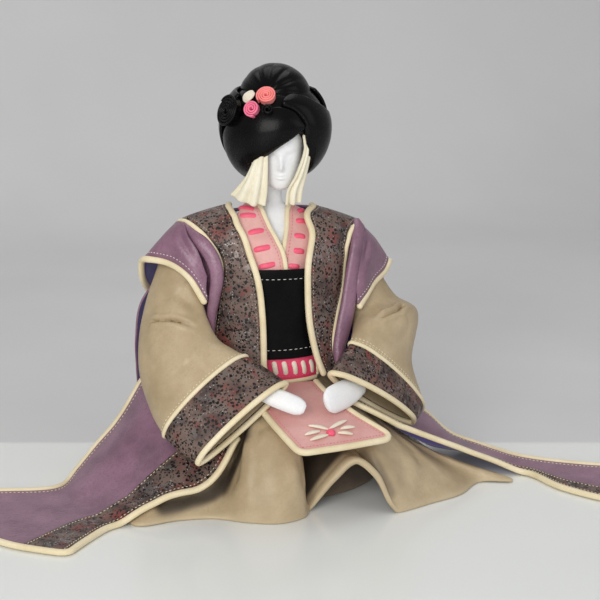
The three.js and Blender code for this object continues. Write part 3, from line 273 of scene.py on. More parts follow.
# Spacing in mm of each kind of dot, and its least and greatest radius as shares of that.
FOIL_DOTS = {"large": (2.8, 0.18, 0.5), "small": (1.9, 0.2, 0.44), "glint_fleck": (1.5, 0.1, 0.34)}
DOT_BLUR, SMALL_DOT_CHANCE, GLINT_FLECK_CHANCE = 0.05, 0.3, (0.965, 0.55)
FOIL_GLOSS, FOIL_METAL, FOIL_SHINE, HOLE_DEPTH = (0.48, 0.34), 0.3, 0.35, 0.0004
foil_hide, tree, shader, where = new_material("crackled_foil_leather")
bent = add(tree, "ShaderNodeTexNoise", {
    "Vector": where, "Scale": PER_METRE / BEND_MARK, "Detail": 3.0}).outputs[1]
bent_where = add(tree, "ShaderNodeMix", {0: BEND_SHARE, 4: where, 5: bent}, data_type="VECTOR").outputs[1]
cloud = {}
for name, (size, detail, distortion, low, high) in FOIL_CLOUDS.items():
    noise = add(tree, "ShaderNodeTexNoise", {
        "Vector": where, "Scale": PER_METRE / size, "Detail": detail, "Distortion": distortion}).outputs[0]
    cloud[name] = add(tree, "ShaderNodeMapRange", {
        "Value": noise, "From Min": low, "From Max": high}).outputs[0]
dot, lot = {}, {}
for name, (spacing, least, most) in FOIL_DOTS.items():
    place = where if name == "glint_fleck" else bent_where
    cell = add(tree, "ShaderNodeTexVoronoi", {"Vector": place, "Scale": PER_METRE / spacing},
               feature="F1").outputs
    chance = add(tree, "ShaderNodeSeparateColor", {0: cell["Color"]}).outputs
    radius = add(tree, "ShaderNodeMapRange", {"Value": chance[0], "To Min": least, "To Max": most}).outputs[0]
    inside = add(tree, "ShaderNodeMath", {0: radius, 1: cell["Distance"]}, operation="SUBTRACT").outputs[0]
    dot[name] = add(tree, "ShaderNodeMapRange", {
        "Value": inside, "From Min": -DOT_BLUR, "From Max": DOT_BLUR}).outputs[0]
    lot[name] = chance[1]

# Small dots keep to the crowded places, and most painted glint flecks to the streaks.
drawn = add(tree, "ShaderNodeMath", {0: lot["small"], 1: SMALL_DOT_CHANCE},
            operation="GREATER_THAN").outputs[0]
crowded = add(tree, "ShaderNodeMath", {0: cloud["crowd"], 1: drawn}, operation="MULTIPLY").outputs[0]
small = add(tree, "ShaderNodeMath", {0: dot["small"], 1: crowded}, operation="MULTIPLY").outputs[0]
holes = add(tree, "ShaderNodeMath", {0: dot["large"], 1: small}, operation="MAXIMUM").outputs[0]
rare = add(tree, "ShaderNodeMapRange", {
    "Value": cloud["sheen_streak"], "To Min": GLINT_FLECK_CHANCE[0], "To Max": GLINT_FLECK_CHANCE[1]}).outputs[0]
bright = add(tree, "ShaderNodeMath", {0: lot["glint_fleck"], 1: rare}, operation="GREATER_THAN").outputs[0]
glint_fleck = add(tree, "ShaderNodeMath", {0: dot["glint_fleck"], 1: bright}, operation="MULTIPLY").outputs[0]

# %% Foil colours
PATCH_SIZE, TAUPE_STOPS = 22, ((0.38, "#4a3b37"), (0.47, "#5e4d47"), (0.55, "#6f5c54"))
patches = add(tree, "ShaderNodeTexNoise", {
    "Vector": where, "Scale": PER_METRE / PATCH_SIZE, "Detail": 4.0, "Distortion": 0.6}).outputs[0]
taupe = add(tree, "ShaderNodeValToRGB", {0: patches})
for stop, code in TAUPE_STOPS:
    taupe.color_ramp.elements.new(stop).color = linear(code)
taupe.color_ramp.elements[0].color = linear("#3c312e")
taupe.color_ramp.elements[-1].color = linear("#75635b")
colour = taupe.outputs[0]
# Brick red and the black holes are the foil's own colour. The grey in the streaks is painted sheen, and the
# pale flecks are painted glints.
for share, strength, code in ((cloud["brick"], 0.8, "#803a35"), (cloud["sheen_streak"], 0.35, "#83807f"),
                              (holes, 1.0, "#100c0b"), (glint_fleck, 0.8, "#c3bfbd")):
    cover = add(tree, "ShaderNodeMath", {0: share, 1: strength}, operation="MULTIPLY").outputs[0]
    colour = add(tree, "ShaderNodeMix", {0: cover, 6: colour, 7: linear(code)}, data_type="RGBA").outputs[2]
gloss = add(tree, "ShaderNodeMapRange", {
    "Value": cloud["sheen_streak"], "To Min": FOIL_GLOSS[0], "To Max": FOIL_GLOSS[1]}).outputs[0]
metal = add(tree, "ShaderNodeMath", {0: cloud["sheen_streak"], 1: FOIL_METAL}, operation="MULTIPLY").outputs[0]
bump = add(tree, "ShaderNodeBump", {"Strength": 0.4, "Distance": HOLE_DEPTH, "Height": holes},
           invert=True).outputs[0]
add(tree, shader, {"Base Color": colour, "Roughness": gloss, "Metallic": metal, "Normal": bump,
                   "Specular IOR Level": FOIL_SHINE})
print("foil leather nodes:", len(tree.nodes))

# %% [markdown]
# White skin, thread, and the hidden wood, foam and wire
#
# The head and neck are smooth white: cast and sanded, faintly uneven in tone. The hands are white lamb
# leather. The thread is waxed linen, whose twist shows as slanting bands. Inside, the base and spine are
# turned wood with long grain, the torso and seat are upholstery foam with open pores, and the arms are
# drawn steel wire.

# %% Plain finishes
BROAD_MARKS, MARK_HEIGHT = 12, 0.0003


def finish(name, dark, light, size, rough, relief, stretch=(1, 1, 1), metallic=0.0, sheen=0.0):
    """A finish from one stretched noise: two tones, the mark's size in mm and a gloss range."""
    material, tree, shader, where = new_material(name)
    drawn = add(tree, "ShaderNodeMapping", {"Vector": where, "Scale": stretch}).outputs[0]
    marks = add(tree, "ShaderNodeTexNoise", {
        "Vector": drawn, "Scale": PER_METRE / size, "Detail": 4.0}).outputs[0]
    broad = add(tree, "ShaderNodeTexNoise", {
        "Vector": where, "Scale": PER_METRE / (size * BROAD_MARKS)}).outputs[0]
    sum_of_marks = add(tree, "ShaderNodeMath", {0: marks, 1: broad}, operation="ADD").outputs[0]
    level = add(tree, "ShaderNodeMapRange", {
        "Value": sum_of_marks, "From Min": 0.7, "From Max": 1.3}).outputs[0]
    colour = add(tree, "ShaderNodeMix", {0: level, 6: linear(dark), 7: linear(light)},
                 data_type="RGBA").outputs[2]
    gloss = add(tree, "ShaderNodeMapRange", {
        "Value": marks, "From Min": 0.3, "From Max": 0.7, "To Min": rough[0], "To Max": rough[1]}).outputs[0]
    bump = add(tree, "ShaderNodeBump", {
        "Strength": relief, "Distance": MARK_HEIGHT, "Height": marks}).outputs[0]
    add(tree, shader, {"Base Color": colour, "Roughness": gloss, "Normal": bump, "Metallic": metallic,
                       "Sheen Weight": sheen})
    return material


# Sanded resin is an even matt white. Beech shows long grain, foam is open and dull, drawn wire has fine
# lines along it, and waxed linen shows its twist.
white_skin = finish("sanded_white_resin", "#e6e8eb", "#f1f2f4", 3.0, (0.42, 0.5), 0.05)
white_mitt = finish("white_lamb_leather", "#e9ebee", "#f4f5f6", 1.2, (0.46, 0.56), 0.12)
beech = finish("turned_beech", "#a97c4a", "#c49a66", 2.2, (0.5, 0.65), 0.2, (0.12, 1, 1))
foam = finish("upholstery_foam", "#cdc19a", "#ded6b8", 1.4, (0.85, 0.95), 0.5, sheen=0.2)
wire = finish("drawn_steel_wire", "#8d8f92", "#b2b4b7", 0.6, (0.28, 0.42), 0.15, (0.2, 1, 1), metallic=1.0)
THREAD_TONES = {"taupe": ("#a89a8b", "#c4b8a9"), "cream": ("#d8cba6", "#efe6cc"),
                "white": ("#d3d0c8", "#f0eee8"), "rose": ("#c9686f", "#dc8689")}
linen = {name: finish(f"{name}_waxed_linen", dark, light, 0.5, (0.5, 0.65), 0.3, (1, 1, 2.5))
         for name, (dark, light) in THREAD_TONES.items()}

for node, material in (("spine_dowel", beech), ("base_board", beech), ("arm_wire_left", wire),
                       ("arm_wire_right", wire)):
    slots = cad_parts[node].data.materials
    slots.clear()
    slots.append(material)
print("finishes:", len(bpy.data.materials))

# %% [markdown]
# Smooth curves and leather sheets
#
# A pattern cutter thinks in edges and a few guide lines, so each piece is a small table of points. A
# centripetal Catmull-Rom curve passes through them without loops. A grid of such curves is the middle
# of the hide, and a closed mesh with a rounded rim is built about it. Direct mesh code is used here,
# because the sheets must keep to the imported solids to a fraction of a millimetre.

# %% Curves
def unit(v):
    return v / np.maximum(np.linalg.norm(v, axis=-1, keepdims=True), 1e-9)


def ease(t):
    t = np.clip(t, 0, 1)
    return t * t * (3 - 2 * t)


def mix(a, b, t):
    return a + (b - a) * t


def round_turn(count):
    """Angles round a full turn."""
    return 2 * math.pi * np.arange(count) / count


def curve_at(points, place, closed=False):
    """Smooth curves through points, which run along axis 0; place counts the spans."""
    points = np.asarray(points, float)
    count = len(points)
    place = np.asarray(place, float)
    first = np.clip(np.floor(place).astype(int), 0, (count if closed else count - 1) - 1)
    t = (place - first).reshape(-1, *[1] * (points.ndim - 1))
    if closed:
        p0, p1, p2, p3 = (points[(first + k) % count] for k in (-1, 0, 1, 2))
    else:
        longer = np.concatenate([[2 * points[0] - points[1]], points, [2 * points[-1] - points[-2]]])
        p0, p1, p2, p3 = (longer[first + k] for k in range(4))
    step = [np.sqrt(np.linalg.norm(b - a, axis=-1, keepdims=True)) for a, b in ((p0, p1), (p1, p2), (p2, p3))]
    d1 = np.where(step[1] < 1e-4, 1.0, step[1])
    d0 = np.where(step[0] < 1e-4, d1, step[0])
    d2 = np.where(step[2] < 1e-4, d1, step[2])
    m1 = ((p1 - p0) / d0 - (p2 - p0) / (d0 + d1) + (p2 - p1) / d1) * d1
    m2 = ((p2 - p1) / d1 - (p3 - p1) / (d1 + d2) + (p3 - p2) / d2) * d1
    return p1 + t * (m1 + t * (3 * (p2 - p1) - 2 * m1 - m2 + t * (2 * (p1 - p2) + m1 + m2)))


def curve_through(points, count, closed=False):
    spans = len(points) if closed else len(points) - 1
    steps = np.arange(count if closed else count + 1)
    return curve_at(points, steps * spans / count, closed)


def surface_through(rows, across, along, closed=False):
    fine = curve_through(np.swapaxes(np.asarray(rows, float), 0, 1), across, closed)
    return curve_through(np.swapaxes(fine, 0, 1), along)


def normals_of(grid, closed=False):
    across = np.roll(grid, -1, 1) - np.roll(grid, 1, 1) if closed else np.gradient(grid, axis=1)
    return unit(np.cross(across, np.gradient(grid, axis=0)))


RIPPLE_WAVES = 7


def ripple(points, size, seed):
    """Gentle unevenness from -1 to 1, with marks about size mm across."""
    rng = np.random.default_rng(seed)
    waves = rng.normal(size=(3, RIPPLE_WAVES)) * (2 * math.pi / (1.7 * size))
    return np.sin(points @ waves + rng.uniform(0, 2 * math.pi, RIPPLE_WAVES)).mean(-1) * 1.5


def nearest_on(points, line):
    """The least distance from each point to a line of joined points, and how far along that is, 0 to 1."""
    line = np.asarray(line, float)
    best, share = np.full((2, *points.shape[:-1]), np.inf)
    for i, (a, b) in enumerate(zip(line[:-1], line[1:])):
        run = b - a
        t = np.clip(((points - a) @ run) / (run @ run), 0, 1)
        away = np.linalg.norm(points - a - t[..., None] * run, axis=-1)
        share = np.where(away < best, (i + t) / (len(line) - 1), share)
        best = np.minimum(best, away)
    return best, share


FOLD_START, FOLD_END, LIP_AT, LIP_HIGH = 0.15, 0.5, 1.7, 0.5


def creased(grid, out, creases):
    """The surface with folded lines pressed in: each has a depth, a width and the line it fades out along."""
    move = np.zeros(grid.shape[:2])
    for depth, wide, line in creases:
        away, share = nearest_on(grid, line)
        away = away / wide
        fade = ease(share / FOLD_START) * ease((1 - share) / FOLD_END)
        move += depth * fade * (LIP_HIGH * np.exp(-(away - LIP_AT) ** 2) - np.exp(-away ** 2))
    return grid + out * move[..., None]


def softened(path, passes):
    """A path whose corners are rounded a little more with every pass."""
    path = path.copy()
    for _ in range(passes):
        path[1:-1] = (path[:-2] + 2 * path[1:-1] + path[2:]) / 4
    return path


def oval(centre, across, up, wide, high, angle):
    """Points round a centre: the half width lies across and the half height up."""
    return centre + np.outer(wide * np.cos(angle), across) + np.outer(high * np.sin(angle), up)


print("a curve through 4 points:", curve_through(np.eye(4)[:, :3], 6).shape)

# %% [markdown]
# From grid to mesh
#
# A sheet gets a face on each side and a half-round rim, so light catches its cut edge. The edge
# attribute falls away over a few millimetres. A piping is the cream strip that is folded over an edge:
# a rounded section swept along that edge, with soft ends.

# %% Sheets
RIM_ANGLES = np.radians([50, 0, -50])
EDGE_REACH, STITCH_LIFT = 2.5, 0.1


class Sheet:
    """Leather about a middle surface: rows of points in mm, and the way out from a point inside."""

    def __init__(self, grid, inside=None, half=1.0, closed=False):
        self.grid = grid
        self.closed = closed
        self.half = np.broadcast_to(half, grid.shape[:2])[..., None]
        normal = normals_of(grid, closed)
        centre = grid.mean((0, 1)) if inside is None else np.asarray(inside, float)
        self.turn = 1 if (normal * (grid - centre)).sum() > 0 else -1
        self.out = normal * self.turn

    def runs(self, edge):
        """Lines that start on an edge and run into the sheet, and the normals along them."""
        def turned(a):
            return {"first": a, "last": a[:, ::-1], "top": a.swapaxes(0, 1),
                    "foot": a[::-1].swapaxes(0, 1)}[edge]
        return turned(self.grid), turned(self.out)

    def inset(self, edge, distance):
        """The line on the outer face at a distance inside an edge, and its normals."""
        points, ups = [], []
        for line, out in zip(*self.runs(edge)):
            reach = np.concatenate([[0], np.cumsum(np.linalg.norm(np.diff(line, axis=0), axis=1))])
            points.append([np.interp(distance, reach, line[:, k]) for k in range(3)])
            ups.append([np.interp(distance, reach, out[:, k]) for k in range(3)])
        ups = unit(np.array(ups))
        points = np.array(points) + ups * (self.half.mean() + STITCH_LIFT)
        if self.closed:
            points, ups = (np.concatenate([a, a[:1]]) for a in (points, ups))
        return points, ups

    def edge_out(self, edge, distance):
        """An edge pushed outwards, square to its run, and the normals along it."""
        lines, outs = self.runs(edge)
        line, inner = lines[:, 0], lines[:, 1]
        if self.closed:
            run = np.roll(line, -1, 0) - np.roll(line, 1, 0)
        else:
            run = np.gradient(line, axis=0)
        away = line - inner
        away = away - run * ((away * run).sum(-1) / (run * run).sum(-1))[:, None]
        return line + unit(away) * distance, outs[:, 0]

    def skirting(self, distance):
        """The way round three sides: down the first column, along the foot and up the last."""
        (down, down_up), (over, over_up), (back, back_up) = (
            self.edge_out(edge, distance) for edge in ("first", "foot", "last"))
        near = down[-1] + over[0] - self.grid[-1, 0]
        far = over[-1] + back[-1] - self.grid[-1, -1]
        path = np.concatenate([down[:-1], [near], over[1:-1], [far], back[-2::-1]])
        up = np.concatenate([down_up[:-1], over_up, back_up[-2::-1]])
        return path, up

    def size(self):
        """Greatest width and length, and the area of the middle surface with its rim, in mm."""
        ring = np.concatenate([self.grid, self.grid[:, :1]], 1) if self.closed else self.grid
        wide = np.linalg.norm(np.diff(ring, axis=1), axis=-1).sum(1).max()
        long = np.linalg.norm(np.diff(ring, axis=0), axis=-1).sum(0).max()
        corner = np.cross(ring[1:, 1:] - ring[:-1, :-1], ring[1:, :-1] - ring[:-1, 1:])
        area = np.linalg.norm(corner, axis=-1).sum() / 2
        rim = 2 * self.half.mean()
        wider = wide if self.closed else wide + rim
        return wider, long + rim, area * (wider / wide) * (long + rim) / long

    def edge_share(self):
        reach = []
        for axis in ((0,) if self.closed else (0, 1)):
            step = np.linalg.norm(np.diff(self.grid, axis=axis), axis=-1)
            length = np.insert(np.cumsum(step, axis), 0, 0, axis)
            whole = length.take([-1], axis)
            reach += [length, whole - length]
        return np.exp(-np.min(reach, axis=0) / EDGE_REACH)

    def mesh(self):
        """Points, faces, the faces of the inner side, and the edge attribute."""
        grid, out, half = self.grid, self.out, self.half
        rows, columns = grid.shape[:2]
        away = np.zeros_like(grid)
        along = unit(np.gradient(grid, axis=0))
        away[0] -= along[0]
        away[-1] += along[-1]
        index = np.arange(rows * columns).reshape(rows, columns)
        if self.closed:
            loops = [index[0], index[-1][::-1]]
            right = np.roll(index, -1, 1)
            a, b, c, d = index[:-1], right[:-1], right[1:], index[1:]
        else:
            across = unit(np.gradient(grid, axis=1))
            away[:, 0] -= across[:, 0]
            away[:, -1] += across[:, -1]
            loops = [np.concatenate([index[0], index[1:-1, -1], index[-1, ::-1], index[-2:0:-1, 0]])]
            a, b, c, d = index[:-1, :-1], index[:-1, 1:], index[1:, 1:], index[1:, :-1]
        away = unit(away)
        points = [(grid + out * half).reshape(-1, 3), (grid - out * half).reshape(-1, 3)]
        share = self.edge_share().ravel()
        shares = [share, share]
        outer = np.stack([a, b, c, d], -1).reshape(-1, 4)
        inner = np.stack([a, d, c, b], -1).reshape(-1, 4) + rows * columns
        faces = [outer, inner]
        count = 2 * rows * columns
        for loop in loops:
            rings = [loop]
            p, o, w, h = (x.reshape(-1, x.shape[-1])[loop] for x in (grid, out, away, half))
            for angle in RIM_ANGLES:
                points.append(p + h * (math.cos(angle) * w + math.sin(angle) * o))
                shares.append(np.ones(len(loop)))
                rings.append(np.arange(len(loop)) + count)
                count += len(loop)
            rings.append(loop + rows * columns)
            for near, far in zip(rings[:-1], rings[1:]):
                faces.append(np.stack([np.roll(near, -1), near, far, np.roll(far, -1)], -1))
        faces = np.concatenate(faces)
        lined = np.zeros(len(faces), int)
        lined[len(outer):2 * len(outer)] = 1
        return np.concatenate(points), faces[:, ::self.turn], lined, np.concatenate(shares)


print("rim steps:", len(RIM_ANGLES))

# %% Pipings and lofts
END_TURNS = np.radians([35, 65, 84])


def sweep(path, up, half_wide, half_high, closed=False, sides=14, square=0.82):
    """A rounded strip along a path: its half width lies in the sheet and its half height along up."""
    run = unit(np.roll(path, -1, 0) - np.roll(path, 1, 0) if closed else np.gradient(path, axis=0))
    up = unit(up - run * (up * run).sum(-1, keepdims=True))
    side = np.cross(run, up)
    angle = round_turn(sides)
    wide, high = (np.sign(f) * np.abs(f) ** square for f in (np.cos(angle), np.sin(angle)))
    half_wide, half_high = (np.broadcast_to(half, len(path)) for half in (half_wide, half_high))

    def ring(i, shrink=1.0, push=0.0):
        return (path[i] + run[i] * push + side[i] * (wide * half_wide[i] * shrink)[:, None]
                + up[i] * (high * half_high[i] * shrink)[:, None])

    rings = [ring(i) for i in range(len(path))]
    if not closed:
        for turn in END_TURNS:
            rings.insert(0, ring(0, math.cos(turn), -half_high[0] * math.sin(turn)))
            rings.append(ring(-1, math.cos(turn), half_high[-1] * math.sin(turn)))
    index = np.arange(len(rings) * sides).reshape(len(rings), sides)
    far = np.roll(index, -1, 0) if closed else index[1:]
    near = index if closed else index[:-1]
    faces = np.stack([near, far, np.roll(far, -1, 1), np.roll(near, -1, 1)], -1).reshape(-1, 4).tolist()
    if not closed:
        faces += [index[0].tolist(), index[-1][::-1].tolist()]
    return np.concatenate(rings), faces


def loft(rings):
    """A solid through closed rings, with a point at each end."""
    rings = np.asarray(rings)
    count, wide = rings.shape[:2]
    points = np.concatenate([rings.reshape(-1, 3), [rings[0].mean(0), rings[-1].mean(0)]])
    index = np.arange(count * wide).reshape(count, wide)
    near, far = index[:-1], index[1:]
    quads = np.stack([near, np.roll(near, -1, 1), np.roll(far, -1, 1), far], -1).reshape(-1, 4)
    foot = np.stack([np.roll(index[0], -1), index[0], np.full(wide, count * wide)], -1)
    top = np.stack([index[-1], np.roll(index[-1], -1), np.full(wide, count * wide + 1)], -1)
    a, b, c = points[quads[:, 0]], points[quads[:, 1]], points[quads[:, 2]]
    turn = 1 if (a * np.cross(b, c)).sum() > 0 else -1
    return points, [face[::turn] for face in quads.tolist() + foot.tolist() + top.tolist()]


def joined(parts):
    """Several shapes as one."""
    points, faces, count = [], [], 0
    for part_points, part_faces in parts:
        points.append(part_points)
        faces += [[i + count for i in face] for face in part_faces]
        count += len(part_points)
    return np.concatenate(points), faces


print("piping end steps:", len(END_TURNS))

# %% Pieces, garments, bindings and stitches
BINDING_HALF, NARROW_HALF = (2.7, 2.4), (2.0, 1.7)
stitch_rows = {}


def piece(name, shape, material, stands_for, slot, body="figure", lining=None):
    """An object from points in mm and faces, riding on its body."""
    points, faces, *rest = shape
    mesh = bpy.data.meshes.new(name)
    mesh.from_pydata((np.asarray(points) * MM).tolist(), [], [list(map(int, face)) for face in faces])
    mesh.polygons.foreach_set("use_smooth", [True] * len(mesh.polygons))
    mesh.materials.append(material)
    if rest:
        mesh.attributes.new("edge", "FLOAT", "POINT").data.foreach_set("value", rest[1])
        if lining:
            mesh.materials.append(lining)
            mesh.polygons.foreach_set("material_index", rest[0])
    obj = link_object(name, mesh)
    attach(obj, body)
    if stands_for:
        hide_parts(*stands_for)
    print(f"{name}: {len(mesh.polygons)} faces")
    return obj


def garment(name, sheet, material, stands_for, slot, held, rests_on, **more):
    """A sheet of leather as a piece, and the flat size that its middle surface unrolls to."""
    obj = piece(name, sheet.mesh(), material, stands_for, slot, **more)
    wide, long, area = sheet.size()
    print(f"{name}: cut from {wide:.0f} x {long:.0f} mm")
    return obj


def binding(name, edge, stands_for, half=BINDING_HALF, closed=False, soft=0):
    """A cream piping along an edge, which is a path and its normals; soft rounds the path."""
    path, up = edge
    shape = sweep(softened(path, soft), up, *half, closed=closed)
    return piece(name, shape, cream_hide, stands_for, "cream_leather")


def stitch(thread, sheet, edge, distance):
    """Keeps a row of stitches inside an edge for the thread's own piece, which is made at the end."""
    stitch_rows.setdefault(thread, []).append(sheet.inset(edge, distance))


print("binding:", 2 * BINDING_HALF[0], "mm wide")

# %% [markdown]
# The body under the robe
#
# Clothes are cut to a body, so the torso and the robe each have a table of half width and half depth by
# height. A point on the body is found from its angle and height, and a layer lies off it along the
# normal. The bust is cast white resin; the torso and seat are foam, which the clothes hide.

# %% Torso and robe sections
LEATHER, CLEARANCE = 2.0, 0.3
BINDING_RADIUS, NARROW_RADIUS = 2.6, 1.8
SEAM_OUT, NARROW_SEAM_OUT = BINDING_RADIUS + 2 * CLEARANCE, NARROW_RADIUS + 2 * CLEARANCE
SEAT_TOP, WAIST_TOP, HIP_PANEL_BOTTOM, OBI_BOTTOM, OBI_TOP = 74, 86, 92.5, 111, 185
TORSO_JOINT, SHOULDER_Z, SHOULDER_SLOPE, NECK_TOP, NECK_RADIUS = 150, 219, 0.055, 262, 8.5
# Height, half width and half depth of the body's sections.
TORSO = np.array([
    [SEAT_TOP, 44, 38], [OBI_BOTTOM, 42, 36], [TORSO_JOINT, 40, 34], [OBI_TOP, 42, 34.5], [205, 49, 30],
    [215, 51, 22.5], [224, 36, 16], [231, 18, 12], [236, 9.5, 9.5], [241, NECK_RADIUS, NECK_RADIUS],
    [NECK_TOP, NECK_RADIUS, NECK_RADIUS]])
ROBE = np.array([
    [90, 70, 60], [OBI_BOTTOM, 63, 51], [TORSO_JOINT, 62, 46.5], [OBI_TOP, 64, 44.5], [200, 73, 39],
    [210, 80, 34], [SHOULDER_Z, 77, 29], [227, 56, 24], [232.5, 36, 19]], float)
# Points that a sheet faces away from: on the spine, and far under the table.
AXIS = (0, 0, 150)
DOWN = (0, 0, -1000)


def section_at(stations, z):
    """Half width and half depth at a height, by a cubic through the stations."""
    levels, sizes = stations[:, 0], stations[:, 1:]
    last = len(stations) - 1
    k = np.clip(np.searchsorted(levels, z, side="right") - 1, 0, last - 1)
    span = (levels[k + 1] - levels[k])[..., None]
    t = (z - levels[k])[..., None] / span
    before, after = np.maximum(np.arange(last + 1) - 1, 0), np.minimum(np.arange(last + 1) + 1, last)
    slope = (sizes[after] - sizes[before]) / (levels[after] - levels[before])[:, None]
    h1, h2 = t * t * (3 - 2 * t), t * (1 - t)
    value = mix(sizes[k], sizes[k + 1], h1) + slope[k] * span * h2 * (1 - t) - slope[k + 1] * span * h2 * t
    return value[..., 0], value[..., 1]


def body_point(stations, angle, z):
    a, b = section_at(stations, z)
    x = a * np.sin(np.radians(angle))
    lean = SHOULDER_SLOPE * x * ease((z - TORSO_JOINT) / (SHOULDER_Z - TORSO_JOINT))
    return np.stack([x, -b * np.cos(np.radians(angle)), z - lean], -1)


def on_body(stations, angle, z, offset=0.0):
    """A point off the body along its normal; the angle is from the front, + to +X."""
    angle, z = np.broadcast_arrays(np.asarray(angle, float), np.asarray(z, float))
    around = body_point(stations, angle + 0.5, z) - body_point(stations, angle - 0.5, z)
    up = body_point(stations, angle, z + 0.5) - body_point(stations, angle, z - 0.5)
    return body_point(stations, angle, z) + unit(np.cross(around, up)) * np.asarray(offset)[..., None]


def edge_grid(rows, across, along, locate):
    """A grid between two edges: each row gives two numbers at the first edge and two at the second."""
    rows = np.asarray(rows, float)
    first, second = (curve_through(rows[:, k:k + 2], along) for k in (0, 2))
    share = np.linspace(0, 1, across + 1)[None, :, None]
    place = mix(first[:, None], second[:, None], share)
    return locate(place[..., 0], place[..., 1])


def layer(n):
    return CLEARANCE + LEATHER / 2 + n * (LEATHER + CLEARANCE)


def body_loft(levels, count):
    angle = -np.arange(count) * 360 / count
    return loft([on_body(TORSO, angle, np.full(count, z)) for z in levels])


print("robe half width at the shoulder:", section_at(ROBE, np.array([SHOULDER_Z]))[0][0], "mm")

# %% Bust, torso and seat
# Height, half width, half depth and place in depth of the seat's sections.
SEAT_LEVELS = np.array([[12.3, 72, 56, -8], [40, 68, 52, -7], [60, 58, 44, -5], [73.7, 46, 39, -3.5]])
BUST_STEPS, BUST_AROUND, TORSO_STEPS, TORSO_AROUND, SEAT_STEPS, SEAT_AROUND = 60, 72, 24, 64, 24, 72
bust_levels = np.linspace(TORSO_JOINT, NECK_TOP, BUST_STEPS)
piece("bust_cast", body_loft(bust_levels, BUST_AROUND), white_skin, ["bust_form"], "white_resin")
torso_levels = np.linspace(SEAT_TOP, TORSO_JOINT - CLEARANCE, TORSO_STEPS)
torso = piece("torso_padding", body_loft(torso_levels, TORSO_AROUND), foam, ["torso_core"], "foam")
seat_curve = curve_through(SEAT_LEVELS[:, [1, 2, 0]], SEAT_STEPS)
seat_y = np.interp(seat_curve[:, 2], SEAT_LEVELS[:, 0], SEAT_LEVELS[:, 3])
seat_rings = [oval((0, y, z), (1, 0, 0), (0, 1, 0), a, b, round_turn(SEAT_AROUND))
              for (a, b, z), y in zip(seat_curve, seat_y)]
seat = piece("seat_padding", loft(seat_rings), foam, ["seat_block"], "foam")

# %% [markdown]
# Skirt and underskirt
#
# The tan skirt falls from the waist to a wandering hem. Each hem point says where the edge lies on the
# table, how far it lifts, and whether the cloth above it is a straight cone or a full dome. One lifted
# point makes the arch in front. The hem is turned, so it is thicker there. Pressed lines add the small
# folds. A simulated cloth would fall its own way, and this hem has to fall where the real one does.

# %% Skirt
HEM_Z = 1.5
# Place on the table, lift and fullness of each point of the hem.
HEM = np.array([
    [3, -110, 0, -0.3], [22, -113, 25, -0.6], [40, -118, 41, -0.8], [55, -124, 30, -0.2], [71, -132, 0, 0.65],
    [104, -119, 0, 0.4], [134, -106, 0, 0.12], [160, -82, 0, -0.2], [187, -88, 0, -0.45], [156, -30, 0, -0.4],
    [133, 35, 0, 0.3], [75, 85, 0, 0.8], [0, 98, 0, 0.8], [-75, 85, 0, 0.8], [-130, 35, 0, 0.6],
    [-142, -35, 0, 0.4], [-138, -107, 0, 0], [-103, -104, 0, 0.05], [-76, -107, 0, -0.25],
    [-50, -123, 0, 0.95], [-27, -131, 0, 1], [-6, -124, 0, 1]])


def waist_point(angle, z, reach):
    a, b = section_at(TORSO, np.full_like(angle, z))
    return np.stack([(a + reach) * np.sin(angle), -(b + reach) * np.cos(angle), np.full_like(angle, z)], -1)


def gown(top, foot, s, crown):
    """From the waist to the hem: crown 0 is a cone and 1 a dome."""
    out = mix(s, np.sin(math.pi * s / 2), crown)
    down = mix(s, 1 - np.cos(math.pi * s / 2), crown)
    return np.stack([mix(top[..., 0], foot[..., 0], out), mix(top[..., 1], foot[..., 1], out),
                     mix(top[..., 2], foot[..., 2], down)], -1)


def skirt_grid(around, down):
    place = np.arange(around) * len(HEM) / around
    hem = curve_at(np.column_stack([HEM[:, :2], HEM_Z + HEM[:, 2]]), place, closed=True)
    hem[:, 2] = np.maximum(hem[:, 2], HEM_Z)
    first = np.floor(place).astype(int)
    crown = mix(HEM[first, 3], HEM[(first + 1) % len(HEM), 3], ease(place % 1))
    waist = waist_point(np.arctan2(hem[:, 0], -hem[:, 1]), WAIST_TOP, layer(0) + LEATHER / 2)
    s = np.linspace(0, 1, down + 1)[:, None]
    return gown(waist[None], hem[None], s, crown[None])


# Depth and width in mm, and the line, of each pressed fold. A depth below zero is a ridge.
SKIRT_CREASES = [
    (1.6, 5, [(-7, -111, 49), (-4, -115, 38), (-4, -119, 26), (-2, -120, 14)]),
    (-1.4, 6, [(-44, -87, 63), (-49, -99, 49), (-53, -109, 35), (-62, -109, 17), (-82, -103, 7)]),
    (1.6, 5, [(-31, -89, 70), (-38, -94, 64), (-44, -101, 54)]),
    (-1.5, 6, [(92, -85, 32), (92, -106, 17), (83, -128, 4)]),
    (-1.8, 5, [(-126, -104, 6), (-100, -101, 8), (-80, -100, 11), (-62, -103, 20)]),
]
SKIRT_AROUND, SKIRT_DOWN, SKIRT_INSIDE = 440, 64, (0, 0, 40)
SKIRT_UNEVEN, SKIRT_MARKS, UNEVEN_SQUARE, FOOT_FREE = 0.5, 26, 0.7, 0.2
HEM_TURN, TURN_START, TURN_REACH = 0.5, 0.93, 0.05
ARCH_AT, ARCH_REACH, ARCH_ROLL = 2.0, 1.7, 1.4
skirt_base = Sheet(skirt_grid(SKIRT_AROUND, SKIRT_DOWN), SKIRT_INSIDE, closed=True)
fall = np.linspace(0, 1, SKIRT_DOWN + 1)[:, None]
skirt = creased(skirt_base.grid, skirt_base.out * ease((1 - fall) / FOOT_FREE)[..., None], SKIRT_CREASES)
wave = SKIRT_UNEVEN * ripple(skirt, SKIRT_MARKS, seed=3) * np.sin(math.pi * fall) ** UNEVEN_SQUARE
skirt = skirt + skirt_base.out * wave[..., None]
